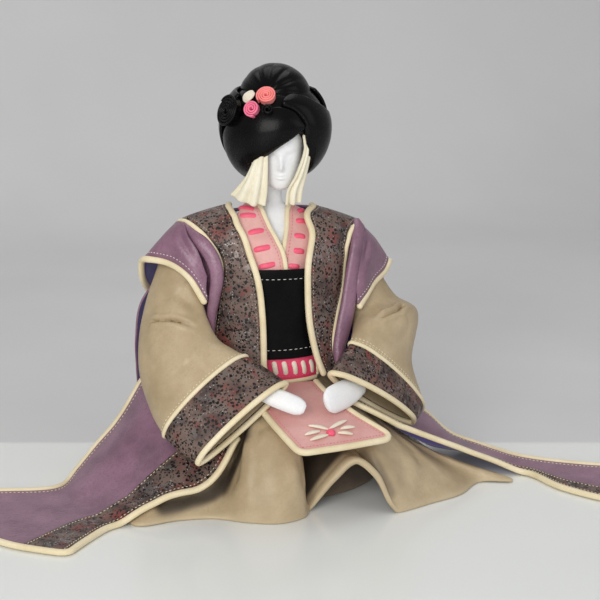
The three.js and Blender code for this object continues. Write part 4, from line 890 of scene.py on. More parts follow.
skirt[..., 2] = np.maximum(skirt[..., 2], HEM_Z)
hem_place = np.arange(SKIRT_AROUND) * len(HEM) / SKIRT_AROUND
arch = np.exp(-((hem_place - ARCH_AT) / ARCH_REACH) ** 4)
turned = (HEM_TURN + ARCH_ROLL * arch) * ease((fall - TURN_START) / TURN_REACH)
skirt_sheet = Sheet(skirt, SKIRT_INSIDE, LEATHER / 2 + turned, closed=True)
skirt_piece = garment("skirt_drape", skirt_sheet, tan_hide, ["skirt"], "tan_leather", "draped",
                      ["underskirt"], lining=umber_hide)

# %% Painted shade in the skirt's folds
# Strength of the painted shade, reach in mm and line of each deep fold.
SKIRT_PAINTED_SHADES = [
    (0.92, 9, [(-38, -72, 68), (-43, -84, 57), (-47, -83, 44), (-52, -82, 33), (-56, -83, 25),
               (-64, -87, 18)]),
    (0.9, 7, [(-64, -87, 18), (-74, -90, 14), (-85, -93, 12), (-100, -96, 11), (-116, -99, 10)]),
    (0.5, 6, [(51, -103, 41), (56, -111, 37), (59, -117, 31), (62, -123, 24), (65, -127, 16)]),
]
# The pocket beside the arch is painted in shade between these hem points, and pale again above the foot.
POCKET_DARK, POCKET_LEFT, POCKET_RIGHT, POCKET_FOOT = 0.94, (-0.75, -0.4), (2.5, 1.6), (0.94, 0.88)
dark = np.zeros((SKIRT_DOWN + 1, SKIRT_AROUND))
for strength, reach, line in SKIRT_PAINTED_SHADES:
    dark = np.maximum(dark, strength * np.exp(-(nearest_on(skirt, line)[0] / reach) ** 4))
from_front = (hem_place + len(HEM) / 2) % len(HEM) - len(HEM) / 2
pocket = np.full_like(dark, POCKET_DARK)
for (none, full), value in ((POCKET_LEFT, from_front), (POCKET_RIGHT, from_front), (POCKET_FOOT, fall)):
    pocket = pocket * ease((value - none) / (full - none))
dark = np.maximum(dark, pocket).ravel()
# The painted shade goes into the depth attribute on both faces of the skirt.
painted_shade_values = np.zeros(len(skirt_piece.data.vertices))
painted_shade_values[:2 * dark.size] = np.tile(dark, 2)
skirt_piece.data.attributes.new("depth", "FLOAT", "POINT").data.foreach_set("value", painted_shade_values)
print("dark points of the skirt:", int((dark > 0.5).sum()))

# %% Underskirt
UNDER_LONG, UNDER_WIDE, UNDER_Y, UNDER_CROWN, UNDER_DROP = 90, 80, -5, 0.2, 4
UNDER_AROUND, UNDER_DOWN = 120, 30
turn = round_turn(UNDER_AROUND)
under_foot = np.stack([UNDER_LONG * np.sin(turn), UNDER_Y - UNDER_WIDE * np.cos(turn),
                       np.full(UNDER_AROUND, HEM_Z)], -1)
under = gown(waist_point(turn, WAIST_TOP - UNDER_DROP, layer(0))[None], under_foot[None],
             np.linspace(0, 1, UNDER_DOWN + 1)[:, None], UNDER_CROWN)
garment("underskirt_drape", Sheet(under, SKIRT_INSIDE, closed=True), umber_hide, ["underskirt"],
        "black_leather", "draped", ["base_board"])

# %% [markdown]
# Trains
#
# Two long tails of the robe run out over the skirt and the table. Each is purple, with a band of foil
# leather along its front edge and a cream binding round three sides. The tail lies on whatever is under
# it, so its height is lifted to the highest skirt point close by and then relaxed, as stiff hide would.

# %% Trains
# Points in mm from the front edge to the back edge, row by row from the waist out.
TRAIN_ROWS = {
    "left": [
        [[-52, -81, 60], [-82, -52, 66], [-101, -8, 76], [-105, 29, 84]],
        [[-72, -91, 32], [-104, -56, 40], [-125, -12, 48], [-129, 26, 46]],
        [[-95, -97, 17], [-126, -62, 22], [-146, -18, 27], [-149, 24, 25]],
        [[-127, -100, 16], [-149, -69, 12], [-166, -28, 12], [-166, 13, 11]],
        [[-160, -106, 0], [-181, -79, 0], [-193, -45, 0], [-190, -13, 0]],
        [[-182, -128, 0], [-206, -95, 0], [-226, -58, 0], [-238, -8, 0]],
        [[-201, -152, 0], [-240, -122, 0], [-279, -60, 0], [-318, 6, 0]]],
    "right": [
        [[54, -64, 77], [77, -42, 66], [99, -5, 70], [104, 29, 80]],
        [[71, -69, 69], [94, -48, 44], [118, -10, 42], [124, 28, 44]],
        [[93, -70, 57], [122, -52, 28], [143, -15, 26], [147, 24, 32]],
        [[147, -67, 29], [154, -47, 18], [164, -18, 14], [167, 12, 13]],
        [[182, -64, 12], [184, -48, 9], [187, -25, 6], [192, -2, 4]],
        [[209, -75, 0], [211, -62, 0], [213, -50, 0], [214, -37, 0]],
        [[224, -118, 0], [234, -100, 0], [244, -82, 0], [254, -68, 0]],
        [[278, -190, 0], [299, -161, 0], [320, -134, 0], [340, -108, 0]]],
}
TRAIN_SETTLE = {"left": 0.0, "right": 1.1}
BAND_COLUMNS, TRAIN_COLUMNS, TRAIN_LENGTHS = 10, 40, 110
STEEPEST, LYING_REACH, SINK, LIFT_PASSES, LAST_PASSES = 0.4, 5.0, 0.5, 6, 2
LYING_AROUND, LYING_DOWN = 160, 30
FLOOR_LIE = BINDING_RADIUS + CLEARANCE
plain_skirt = skirt_grid(LYING_AROUND, LYING_DOWN)
plain_level = np.maximum(np.abs(normals_of(plain_skirt, True)[..., 2]), STEEPEST)
skirt_tops = plain_skirt.reshape(-1, 3).copy()
skirt_tops[:, 2] += ((LEATHER + 3 * CLEARANCE) / plain_level).ravel()


def resting_height(points):
    """The height at which a sheet lies on the skirt or on the table."""
    heights = []
    for row in points:
        away = np.linalg.norm(row[:, None, :2] - skirt_tops[None, :, :2], axis=-1)
        heights.append(np.where(away < LYING_REACH, skirt_tops[None, :, 2], FLOOR_LIE).max(1))
    return np.array(heights)


def relaxed(field, passes):
    for _ in range(passes):
        longer = np.pad(field, 1, mode="edge")
        field = (longer[:-2, 1:-1] + longer[2:, 1:-1] + longer[1:-1, :-2] + longer[1:-1, 2:]) / 4
    return field


for side, rows in TRAIN_ROWS.items():
    whole = surface_through(rows, TRAIN_COLUMNS, TRAIN_LENGTHS)
    lying = np.maximum(FLOOR_LIE, resting_height(whole) - TRAIN_SETTLE[side])
    height = relaxed(np.maximum(whole[..., 2], lying), LIFT_PASSES)
    whole[..., 2] = relaxed(np.maximum(height, lying - SINK), LAST_PASSES)
    band, field = Sheet(whole[:, :BAND_COLUMNS + 1], DOWN), Sheet(whole[:, BAND_COLUMNS:], DOWN)
    garment(f"train_band_hide_{side}", band, foil_hide, [f"train_band_{side}"], "crackle_foil_leather",
            "draped", ["skirt"], lining=lining_hide)
    garment(f"train_field_{side}", field, purple_hide, [f"train_{side}"], "purple_leather", "draped",
            ["skirt"], lining=lining_hide)
    binding(f"train_piping_{side}", Sheet(whole, DOWN).skirting(SEAM_OUT), [f"train_binding_{side}"], soft=3)
    stitch("cream", band, "first", distance=2.2)
    stitch("cream", band, "last", distance=2.2)
    stitch("cream", field, "last", distance=4.5)

# %% [markdown]
# Apron and its flower
#
# A pink apron lies over the lap, bound in cream with rounded corners and sewn with rose thread. On it
# is a flower: thin folded strips of cream leather held by a hot pink knot.

# %% Apron
# Points in mm across the apron, row by row from the waist to the foot.
APRON_ROWS = [
    [[-38, -45, 88.4], [-7, -45, 88.6], [24, -43, 88.6]], [[-30, -70, 85], [-1, -66, 86], [27, -63, 85]],
    [[-21, -100, 73], [11, -94, 74.5], [44, -86, 72.5]],
    [[-10, -133, 60.5], [28, -125, 60], [68, -114, 59.5]]]
APRON_ACROSS, APRON_DOWN = 40, 48
apron_sheet = Sheet(surface_through(APRON_ROWS, APRON_ACROSS, APRON_DOWN), DOWN)
garment("apron_hide", apron_sheet, pink_hide, ["apron"], "pink_leather", "draped", ["skirt"])
binding("apron_piping", apron_sheet.skirting(SEAM_OUT), ["apron_binding"], soft=4)
for edge in ("first", "foot", "last"):
    stitch("rose", apron_sheet, edge, distance=2.4)

# %% Flower
FLOWER_ROW, FLOWER_COLUMN, FLOWER_SHIFT = 42, 16, 5.5
# The two ends of each strip, in mm across and along the apron from the knot.
PETALS = [((-4.4, -2.5), (-20.5, -4.9)), ((-9, 3.2), (-22, 2.2)), ((-0.9, 4.1), (-14, 11.8)),
          ((1.1, 4.5), (19, 10.7)), ((10.5, 2.3), (22, 1.7)), ((6, -2), (16.4, -6))]
PETAL_FOOT, PETAL_RISE, PETAL_TIP, PETAL_SWELL, PETAL_HALF = 2.0, 0.9, 0.7, 1.2, 0.9
PETAL_STEPS, PETAL_SIDES, PETAL_SQUARE = 17, 12, 0.8
KNOT_RADIUS, KNOT_FOOT, KNOT_HEIGHT, KNOT_FOLDS, KNOT_FOLD = 3.8, 1.4, 3.2, 5, 0.05
KNOT_AROUND, KNOT_STEPS = 32, 10
here = apron_sheet.grid[FLOWER_ROW, FLOWER_COLUMN]
flower_up = apron_sheet.out[FLOWER_ROW, FLOWER_COLUMN]
flower_side = unit(apron_sheet.grid[FLOWER_ROW, FLOWER_COLUMN + 1] - here)
flower_front = np.cross(flower_up, flower_side)
here = here + flower_side * FLOWER_SHIFT
t = np.linspace(0, 1, PETAL_STEPS)
swell = np.sin(math.pi * t)
rise = PETAL_FOOT + PETAL_RISE * swell
petals = []
for start, end in PETALS:
    spot = mix(np.array(start), np.array(end), t[:, None])
    strip = here + spot @ np.array([flower_side, flower_front]) + flower_up * rise[:, None]
    petals.append(sweep(strip, np.broadcast_to(flower_up, strip.shape),
                        PETAL_TIP + PETAL_SWELL * swell ** PETAL_SQUARE, PETAL_HALF, sides=PETAL_SIDES))
piece("apron_flower_petals", joined(petals), petal_hide, ["apron_flower"], "cream_leather")
turn = round_turn(KNOT_AROUND)
knot_rings = []
for lift in np.radians(np.linspace(0, 88, KNOT_STEPS)):
    wide = KNOT_RADIUS * math.cos(lift) * (1 + KNOT_FOLD * np.cos(KNOT_FOLDS * turn))
    middle = here + flower_up * (KNOT_FOOT + KNOT_HEIGHT * math.sin(lift))
    knot_rings.append(oval(middle, flower_side, flower_front, wide, wide, turn))
piece("apron_flower_bead", loft(knot_rings), lace_hide, ["apron_flower_knot"], "hot_pink_leather")

# %% [markdown]
# Collars, sash and hip panel
#
# The under-collars cross on the chest, the left over the right. Each has a narrow cream binding. The
# black sash wraps the waist and is top-stitched in white. The hot pink hip panel shows below it.

# %% Layers on the torso
COLLAR_EASE, COLLAR_ACROSS, COLLAR_DOWN = 0.5, 24, 60
# The layer, then angle and height at the neck edge and at the outer edge.
COLLARS = {
    "right": (0, [[80, 233, 100, 231], [58, 231.5, 84, 229.5], [24, 227, 58, 225.5], [13.4, 220, 49, 219],
                  [7.4, 209, 42, 209], [4.4, 200, 37, 199], [0, 180, 34, 180]]),
    "left": (1, [[-68, 233, -96, 231], [-48, 230.5, -80, 229], [-25, 226, -58, 225], [-14, 218.5, -48, 218],
                 [-7.7, 207.5, -41, 208], [-2.6, 197.5, -36, 197], [0.3, 180, -34, 180]]),
}
for side, (level, rows) in COLLARS.items():
    offset = layer(level) + COLLAR_EASE * (level + 1)
    grid = edge_grid(rows, COLLAR_ACROSS, COLLAR_DOWN, lambda angle, z: on_body(TORSO, angle, z, offset))
    sheet = Sheet(grid, AXIS)
    garment(f"collar_hide_{side}", sheet, pink_hide, [f"collar_{side}"], "pink_leather", "folded",
            ["bust_form"])
    binding(f"collar_piping_{side}", sheet.edge_out("first", NARROW_SEAM_OUT), [f"collar_binding_{side}"],
            NARROW_HALF)
    stitch("rose", sheet, "first", distance=2.0)

# %% Sash
OBI_OFFSET = layer(1) + 2 * COLLAR_EASE + NARROW_RADIUS + LEATHER / 2 + CLEARANCE
OBI_AROUND, OBI_DOWN = 160, 40
obi_angle = np.arange(OBI_AROUND) * 360 / OBI_AROUND
obi_z = np.linspace(OBI_TOP, OBI_BOTTOM, OBI_DOWN + 1)
obi_sheet = Sheet(on_body(TORSO, obi_angle[None, :], obi_z[:, None], OBI_OFFSET), closed=True)
garment("obi_hide", obi_sheet, sash_hide, ["obi"], "black_leather", "stretched", ["bust_form"])
for edge in ("top", "foot"):
    stitch("sash", obi_sheet, edge, distance=7.0)

# %% Hip panel
HIP_OFFSET = OBI_OFFSET - LEATHER - 3 * CLEARANCE
HIP_LEFT, HIP_RIGHT, HIP_TUCK, SIDE_START, HIP_ACROSS, HIP_DOWN = -42, 38, 8, 8, 60, 24
hip_rows = [[HIP_LEFT, z, HIP_RIGHT, z] for z in (OBI_BOTTOM + HIP_TUCK, OBI_BOTTOM, HIP_PANEL_BOTTOM)]
hip_grid = edge_grid(hip_rows, HIP_ACROSS, HIP_DOWN, lambda angle, z: on_body(TORSO, angle, z, HIP_OFFSET))
hip_sheet = Sheet(hip_grid, AXIS)
garment("hip_hide", hip_sheet, hot_pink_hide, ["hip_panel"], "hot_pink_leather", "stretched", ["torso_core"])
binding("hip_piping", hip_sheet.edge_out("foot", NARROW_SEAM_OUT), ["hip_panel_binding"], NARROW_HALF)
stitch("rose", hip_sheet, "foot", distance=2.2)
side_edge = [part[SIDE_START:] for part in hip_sheet.edge_out("last", NARROW_SEAM_OUT)]
binding("hip_side_piping", side_edge, (), NARROW_HALF)

# %% [markdown]
# Lapels and front panels
#
# Broad lapels of foil leather run from the nape over the shoulders to the lap, with a cream binding on
# both edges and pale stitches beside them. Outside each lapel the purple front is rolled, so a padded
# ridge runs down next to the binding before the cloth dips under the shoulder cap.

# %% Lapels
# Angle and height on the robe at the inner edge and at the outer edge.
LAPELS = {
    "left": [
        [-106, 231.5, -104, 219], [-80, 231, -78, 221], [-53, 228.5, -57, 218], [-35, 223, -48, 213],
        [-25.6, 212.5, -44, 203], [-26, 194, -46.5, 187], [-22.8, 171, -52.5, 170], [-21, 146, -57, 150],
        [-20.8, 121, -61, 128], [-21, 100, -62, 104]],
    "right": [
        [104, 231.5, 104, 219], [56, 231, 76, 221], [31, 227.5, 53, 218], [24, 221.5, 47, 213],
        [22, 211, 47.5, 203], [21, 193, 60, 186], [21.5, 169, 61, 168], [22.5, 143, 50, 147],
        [27, 118, 42, 122], [31, 98, 42, 102]],
}
# Place in mm and half width along the padded ridge beside each lapel.
ROLLS = {
    "left": [[-76.6, -8, 220.9, 3.0], [-71.4, -15, 215.7, 5.2], [-64.7, -24, 208.3, 6.0],
             [-57.4, -31, 195.8, 6.0], [-54.7, -33, 182.5, 5.6], [-56.8, -32, 164.6, 4.8],
             [-58.9, -29, 147.6, 4.0], [-59, -27, 131.9, 3.0]],
    "right": [[71.5, -10, 216, 4.0], [71, -17, 209.5, 6.8], [67.2, -24, 197.7, 6.4],
              [62, -28, 174.2, 6.6], [57.9, -32, 150.5, 7.4], [53.5, -36, 135.1, 7.4],
              [48.2, -39, 116.2, 5.5], [46, -42, 106, 3.0]],
}
ROLL_HIGH, ROLL_TURNS_AT, ROLL_TURN_REACH, ROLL_FACES_UP, ROLL_FACES = 4.2, 196, 22, 30, (0.25, 1, 0)
ROLL_STEPS, ROLL_SIDES, ROLL_SQUARE = 80, 20, 0.95
LAPEL_ACROSS, LAPEL_DOWN, PANEL_ACROSS, PANEL_DOWN = 24, 120, 20, 60
LAPEL_HALF = {"inner": BINDING_HALF, "outer": (2.1, 2.2)}
PANEL_REACH, ROBE_RADIUS = 82, 62
panel_gap = 2 * SEAM_OUT * 180 / (math.pi * ROBE_RADIUS) + 1


def on_robe(angle, z):
    return on_body(ROBE, angle, z)


for side, rows in LAPELS.items():
    sign = -1 if side == "left" else 1
    sheet = Sheet(edge_grid(rows, LAPEL_ACROSS, LAPEL_DOWN, on_robe), AXIS)
    garment(f"lapel_hide_{side}", sheet, foil_hide, [f"lapel_{side}"], "crackle_foil_leather", "folded",
            ["bust_form"], lining=lining_hide)
    for edge, column in (("inner", "first"), ("outer", "last")):
        binding(f"lapel_{edge}_piping_{side}", sheet.edge_out(column, SEAM_OUT),
                [f"lapel_{edge}_binding_{side}"], LAPEL_HALF[edge], soft=24)
        stitch("taupe", sheet, column, distance=1.6)
    line = curve_through(ROLLS[side], ROLL_STEPS)
    path, wide = line[:, :3], line[:, 3]
    upward = ROLL_FACES_UP * ease((path[:, 2:] - ROLL_TURNS_AT) / ROLL_TURN_REACH)
    face = unit(path * ROLL_FACES + (0, 0, 1) * upward)
    roll = sweep(path, face, wide, np.minimum(wide, ROLL_HIGH), sides=ROLL_SIDES, square=ROLL_SQUARE)
    piece(f"front_roll_{side}", roll, purple_hide, (), "purple_leather")
    panel_rows = [[row[2] + sign * panel_gap, row[3], sign * PANEL_REACH, row[3]] for row in rows[2:-1]]
    panel = Sheet(edge_grid(panel_rows, PANEL_ACROSS, PANEL_DOWN, on_robe), AXIS)
    garment(f"front_panel_hide_{side}", panel, purple_hide, [f"front_panel_{side}"], "purple_leather", "hung",
            ["bust_form"], lining=lining_hide)

# %% [markdown]
# Shoulder caps
#
# Short wide caps stand out over the shoulders like folded wings. Their mouths are bound in cream and
# sewn with white thread, and a violet lining shows inside. A dent runs from the neck end to the roll.

# %% Caps
# Points in mm from the shoulder out to the mouth, row by row from the back to the front.
CAPS = {
    "left": [
        [[-66, 36, 204], [-84, 43, 185], [-97, 43, 159]], [[-73, 22, 212], [-91, 28, 196], [-103.5, 29, 171]],
        [[-80, 5, 221], [-94, 8, 206], [-106, 14, 190]], [[-78, -12, 222.5], [-91, -7, 210], [-104, 1, 195]],
        [[-76, -21, 214], [-84, -19, 205], [-90, -14, 194]],
        [[-70, -28, 203], [-74, -29, 194], [-75.5, -28, 184]],
        [[-63, -30, 182], [-64, -32, 173], [-63, -33, 163]]],
    "right": [
        [[66, 36, 196], [82, 43, 177], [95, 44, 152]], [[74, 22, 204], [91, 28, 187], [103, 31, 163]],
        [[79, 5, 211], [93, 8, 197], [107, 14, 178]], [[79, -12, 208], [90, -7, 194], [100, 2, 172.5]],
        [[74, -20, 203], [82, -18, 187], [87, -11, 166]], [[67, -25, 189], [73, -27, 175], [77, -22, 158.5]],
        [[63, -25, 173], [66, -29, 162], [67, -31, 151]]],
}
# Depth and width in mm, and the line, of each dent.
CAP_CREASES = {
    "left": [(1.2, 3.0, [(-80, -10, 221), (-80, -20, 210), (-75, -27, 200), (-66, -31, 182)]),
             (0.6, 3.0, [(-93, -5, 207), (-88, -14, 201), (-85, -19, 196)])],
    "right": [(1.2, 3.0, [(79, -14, 204), (76, -22, 192), (70, -26, 178)])],
}
CAP_UNEVEN, CAP_MARKS, CAP_ACROSS, CAP_ALONG = 0.3, 22, 32, 90
for side, rows in CAPS.items():
    plain = Sheet(surface_through(rows, CAP_ACROSS, CAP_ALONG), AXIS)
    folded = creased(plain.grid, plain.out, CAP_CREASES[side])
    wave = CAP_UNEVEN * ripple(folded, CAP_MARKS, seed=5)
    sheet = Sheet(folded + plain.out * wave[..., None], AXIS)
    garment(f"cap_hide_{side}", sheet, purple_hide, [f"cap_sleeve_{side}"], "purple_leather", "draped",
            ["bust_form"], lining=lining_hide)
    binding(f"cap_piping_{side}", sheet.edge_out("last", SEAM_OUT), [f"cap_binding_{side}"])
    stitch("white", sheet, "last", distance=3.6)

# %% [markdown]
# Sleeves and cuffs
#
# Each tan sleeve is a wide bag that hangs from the elbow. A ring is given by its top point, its low point
# and its fullness in front and behind. The last stretch is the foil cuff, joined by a cream piping with
# stitches beside it, and the mouth is bound. Pressed lines make the elbow folds.

# %% Sleeves
# Top point, low point, and fullness in front and behind, of each ring.
SLEEVES = {
    "left": [
        [[-71, -12, 182], [-91, 14, 190], 9, 9], [[-65, -38, 146], [-106, 8, 149], 15, 13],
        [[-58, -47, 132], [-115, -8, 114], 21, 14], [[-48, -56, 125], [-115, -38, 83], 20, 10],
        [[-38, -63, 120], [-108, -75, 63], 16, 7], [[-24, -75, 112], [-99, -90, 54], 15, 9],
        [[-13, -87, 104.5], [-89, -100, 48], 15, 9]],
    "right": [
        [[70, -6, 168], [92, 14, 176], 9, 9], [[67, -21, 138], [110, 6, 145], 11, 13],
        [[62, -40, 131], [125, -3, 131], 20, 14], [[58, -49, 127], [115, -16, 92], 17, 10],
        [[54, -55, 123], [125, -28, 52], 13, 7], [[43, -67, 116], [119, -38, 49], 14, 8],
        [[31, -79, 108], [113, -46, 48], 14, 8]],
}
# Depth and width in mm, and the line, of each fold. A depth below zero is a ridge.
SLEEVE_CREASES = {
    "left": [(4.4, 2.2, [(-110, -16, 143), (-102, -27, 147), (-95, -32, 148), (-84, -41, 147),
                         (-72, -47, 142)]),
             (-1.3, 5.0, [(-104, -20, 156), (-95, -26, 157), (-84, -34, 156), (-74, -41, 151)]),
             (1.8, 5.0, [(-85, -18, 168), (-81, -24, 164), (-76, -33, 157), (-71, -40, 150)]),
             (1.3, 5.0, [(-89, -60, 120), (-83, -66, 117), (-79, -71, 113), (-77, -78, 106)]),
             (-1.2, 6.0, [(-111, -32, 127), (-105, -44, 121), (-97, -54, 118)])],
    "right": [(4.2, 2.2, [(112, -20, 145), (102, -33, 143), (89, -41, 142), (77, -46, 139)]),
              (-1.2, 5.0, [(108, -18, 154), (98, -28, 152), (87, -36, 150)]),
              (1.6, 4.5, [(80, -18, 150), (78, -34, 143), (80, -47, 138)]),
              (-1.0, 6.0, [(110, -34, 136), (98, -46, 131), (87, -54, 124)])],
}
SLEEVE_AROUND, ROWS_PER_RING, CUFF_RINGS, RING_POINTS = 240, 28, 2, 12
SLEEVE_UNEVEN, SLEEVE_MARKS, FOLD_FADE, SEAM_PROUD = 0.45, 24, 16, 0.8
CUFF_HALF, SEAM_HALF = (2.4, 2.2), (1.8, 1.8)
SEAM_STITCHES = {"left": (3.6,), "right": (3.2, 5.4)}


def sleeve_rings(stations):
    top, low = (np.array([station[k] for station in stations], float) for k in (0, 1))
    middle, span = (top + low) / 2, (top - low) / 2
    last = len(stations) - 1
    angle = round_turn(RING_POINTS)
    rings = []
    for i, (_, _, front, behind) in enumerate(stations):
        toward = unit(np.cross(middle[min(i + 1, last)] - middle[max(i - 1, 0)], span[i]))
        toward = toward * -np.sign(toward[1])
        full = np.where(np.arange(RING_POINTS) < RING_POINTS / 2, front, behind)
        rings.append(oval(middle[i], span[i], toward, 1.0, full, angle))
    return rings


for side, stations in SLEEVES.items():
    rows = ROWS_PER_RING * (len(stations) - 1)
    seam = rows - CUFF_RINGS * ROWS_PER_RING
    plain = Sheet(surface_through(sleeve_rings(stations), SLEEVE_AROUND, rows, True), closed=True)
    above = ease((seam - np.arange(rows + 1)) / FOLD_FADE)[:, None]
    folded = creased(plain.grid, plain.out * above[..., None], SLEEVE_CREASES[side])
    wave = SLEEVE_UNEVEN * ripple(plain.grid, SLEEVE_MARKS, seed=11) * above
    folded = folded + plain.out * wave[..., None]
    sleeve, cuff = Sheet(folded[:seam + 1], closed=True), Sheet(plain.grid[seam:], closed=True)
    garment(f"sleeve_hide_{side}", sleeve, tan_hide, [f"sleeve_{side}"], "tan_leather", "hung",
            [f"arm_wire_{side}"])
    garment(f"cuff_hide_{side}", cuff, foil_hide, [f"cuff_{side}"], "crackle_foil_leather", "hung",
            [f"arm_wire_{side}"], lining=tan_hide)
    binding(f"cuff_piping_{side}", cuff.edge_out("foot", SEAM_OUT), [f"cuff_binding_{side}"], CUFF_HALF, True)
    ring, out = plain.grid[seam], plain.out[seam]
    binding(f"cuff_seam_piping_{side}", (ring + out * SEAM_PROUD, out), (), SEAM_HALF, True)
    for distance in SEAM_STITCHES[side]:
        stitch("cream", sleeve, "foot", distance)

# %% [markdown]
# Robe back
#
# Behind, the purple robe falls from the shoulders to the table in five soft folds, lined in violet.

# %% Robe back
# Height, half width, half depth, place in depth and reach in degrees of each level.
BACK_LEVELS = [
    [228, 39, 18.5, 2, 66], [218.5, 66, 24.5, 3, 66], [205, 75, 30, 6, 66], [180, 90, 38, 10.8, 66],
    [150, 109, 46, 13.8, 78], [118, 113, 58, 12, 80], [88, 116, 74, 12, 68], [55, 122, 91, 12, 58],
    [25, 130, 102, 12, 56], [3, 136, 108, 12, 56]]
BACK_FOLDS, FOLD_DEPTH, BACK_COLUMNS, BACK_ACROSS, BACK_DOWN = 5, 5, 21, 100, 96
share = np.linspace(0, 1, BACK_COLUMNS)
back_rows = []
for z, a, b, y, reach in BACK_LEVELS:
    angle = np.radians(mix(-reach, reach, share))
    fold = FOLD_DEPTH * np.cos(2 * math.pi * BACK_FOLDS * share) * (1 - z / SHOULDER_Z)
    back_rows.append(oval((0, y, z), (0, 1, 0), (1, 0, 0), b + fold, a + fold, angle))
back_sheet = Sheet(surface_through(back_rows, BACK_ACROSS, BACK_DOWN), AXIS)
garment("robe_back_drape", back_sheet, purple_hide, ["robe_back"], "purple_leather", "draped",
        ["bust_form"], lining=lining_hide)
for edge in ("first", "last"):
    stitch("cream", back_sheet, edge, distance=3.0)

# %% [markdown]
# Hands
#
# The hands are white leather mitts without fingers. Two halves are sewn together, so a thin seam stands
# round the edge. A loft along the forearm with a small flange at both sides gives that.

# %% Hands
# Wrist, tip, width against the plain mitt, and the way up.
HANDS = {
    "left": ((-38.3, -84.8, 100.4), (0.7, -105.2, 85.4), 0.97, (0.81, 0.13, 0.56)),
    "right": ((60, -67, 89.8), (20, -97, 86.4), 1.4, (-0.77, -0.29, 0.58)),
}
# Share of the length, half width and half thickness.
HAND_SECTIONS = np.array([
    [0, 4.6, 3.4], [0.25, 6.8, 4.1], [0.5, 7.8, 4.4], [0.75, 7.7, 4.1], [0.92, 6.2, 3.2], [1, 3.2, 1.7]])
FLANGE, FLANGE_SHARP, MITT_SQUARE, MITT_AROUND, MITT_STEPS = 0.06, 60, 0.85, 72, 60
for side, (wrist, tip, wide, up) in HANDS.items():
    wrist, axis = np.array(wrist, float), np.subtract(tip, wrist)
    across = unit(np.array(up) - axis * (np.dot(up, axis) / (axis @ axis)))
    through = unit(np.cross(axis, across))
    angle = round_turn(MITT_AROUND)
    flanged = np.cos(angle) * wide * (1 + FLANGE * np.abs(np.cos(angle)) ** FLANGE_SHARP)
    rounded = np.sign(np.sin(angle)) * np.abs(np.sin(angle)) ** MITT_SQUARE
    rings = [wrist + axis * t + np.outer(flanged * half_wide, across)
             + np.outer(rounded * half_thick, through)
             for t, half_wide, half_thick in curve_through(HAND_SECTIONS, MITT_STEPS)]
    piece(f"hand_mitt_{side}", loft(rings), white_mitt, [f"hand_{side}"], "white_resin", f"{side}_hand")

# %% [markdown]
# Head
#
# The face is a mannequin's: smooth, with a soft brow, a small nose and closed lips, and no painted
# features. Rings up the head carry a little relief at the front, where they are packed closer.

# %% Head
HEAD_CENTRE, HEAD_TURN, HEAD_BOW = np.array([5, -9, 282.0]), math.radians(-12), math.radians(6)
HEAD_AROUND, HEAD_STEPS, FACE_CROWDING = 160, 120, 1.5
# Height, half width, and reach to the front and to the back.
HEAD_RINGS = np.array([
    [-31, 5, 17, -7], [-28, 9.5, 20.5, 2], [-23, 13.2, 22.4, 10], [-20, 14.4, 23, 12], [-17, 15.4, 23.3, 14],
    [-13, 16.8, 23.6, 16], [-9, 17.9, 23.9, 18], [-4, 19, 24.2, 20], [2, 19.8, 24.5, 22], [9, 20.4, 25, 23.5],
    [16, 20.2, 24.6, 24], [23, 18, 22, 22], [29, 12, 15, 16], [33, 4, 5, 6]])
# Rise in mm, height and tallness, and the angle to each side and width in degrees.
FACE_SWELLS = {
    "nose_tip": (3.6, -10, 3.6, 0, 8), "nose_bridge": (2.0, -4, 5, 0, 8),
    "upper_lip": (1.2, -16.6, 1.3, 0, 15), "lower_lip": (1.3, -19.4, 1.4, 0, 15),
    "brows": (0.8, 5, 3, 22, 16), "eye_hollows": (-1.5, -1, 3.4, 23, 11), "lids": (0.7, -1.6, 1.6, 23, 8),
}


def mound(value, centre, width):
    return np.exp(-((value - centre) / width) ** 2)


def face_relief(height, angle):
    relief = 0.0
    for rise, level, tall, turn, wide in FACE_SWELLS.values():
        across = sum(mound(angle, side, wide) for side in {turn, -turn})
        relief = relief + rise * mound(height, level, tall) * across
    return relief


def turned_by(angle, a, b):
    return a * math.cos(angle) - b * math.sin(angle), a * math.sin(angle) + b * math.cos(angle)


def head_pose(points):
    """From the head's own frame to its place: bowed, then turned."""
    x, y, z = np.moveaxis(points, -1, 0)
    y, z = turned_by(HEAD_BOW, y, z)
    x, y = turned_by(HEAD_TURN, x, y)
    return np.stack([x, y, z], -1) + HEAD_CENTRE


turn = 2 * np.arange(HEAD_AROUND) / HEAD_AROUND - 1
face_angle = 180 * np.sign(turn) * np.abs(turn) ** FACE_CROWDING
head_rings = []
for height, width, front, back in curve_through(HEAD_RINGS, HEAD_STEPS):
    depth = (front + back) / 2 + face_relief(height, face_angle)
    head_rings.append(head_pose(np.stack([
        width * np.sin(np.radians(face_angle)), (back - front) / 2 - depth * np.cos(np.radians(face_angle)),
        np.full(HEAD_AROUND, height)], -1)))
piece("head_cast", loft(head_rings), white_skin, ["head"], "white_resin", "head")

# %% [markdown]
# Hair
#
# The hair is black glazed leather over a padded form: a full sweep across the brow, a band down the
# right side, a back, and a pleated crown. Each is a patch of an egg-shaped form, given by azimuth and
# elevation at its two edges, and swollen in the middle so that it takes a broad highlight.

# %% Hair
HAIR_CENTRE = np.array([4, 2, 301.0])
HAIR_WIDE, HAIR_DEEP, HAIR_RISE, HAIR_DROP = 42, 41, 38, 45
HAIR_LEATHER, HAIR_EASE, SWELL_LEAN, CURL_REACH, HAIR_ACROSS, HAIR_ALONG = 3.5, 0.5, 0.75, 0.12, 48, 110
HAIR_OFFSET = CLEARANCE + HAIR_EASE + HAIR_LEATHER / 2
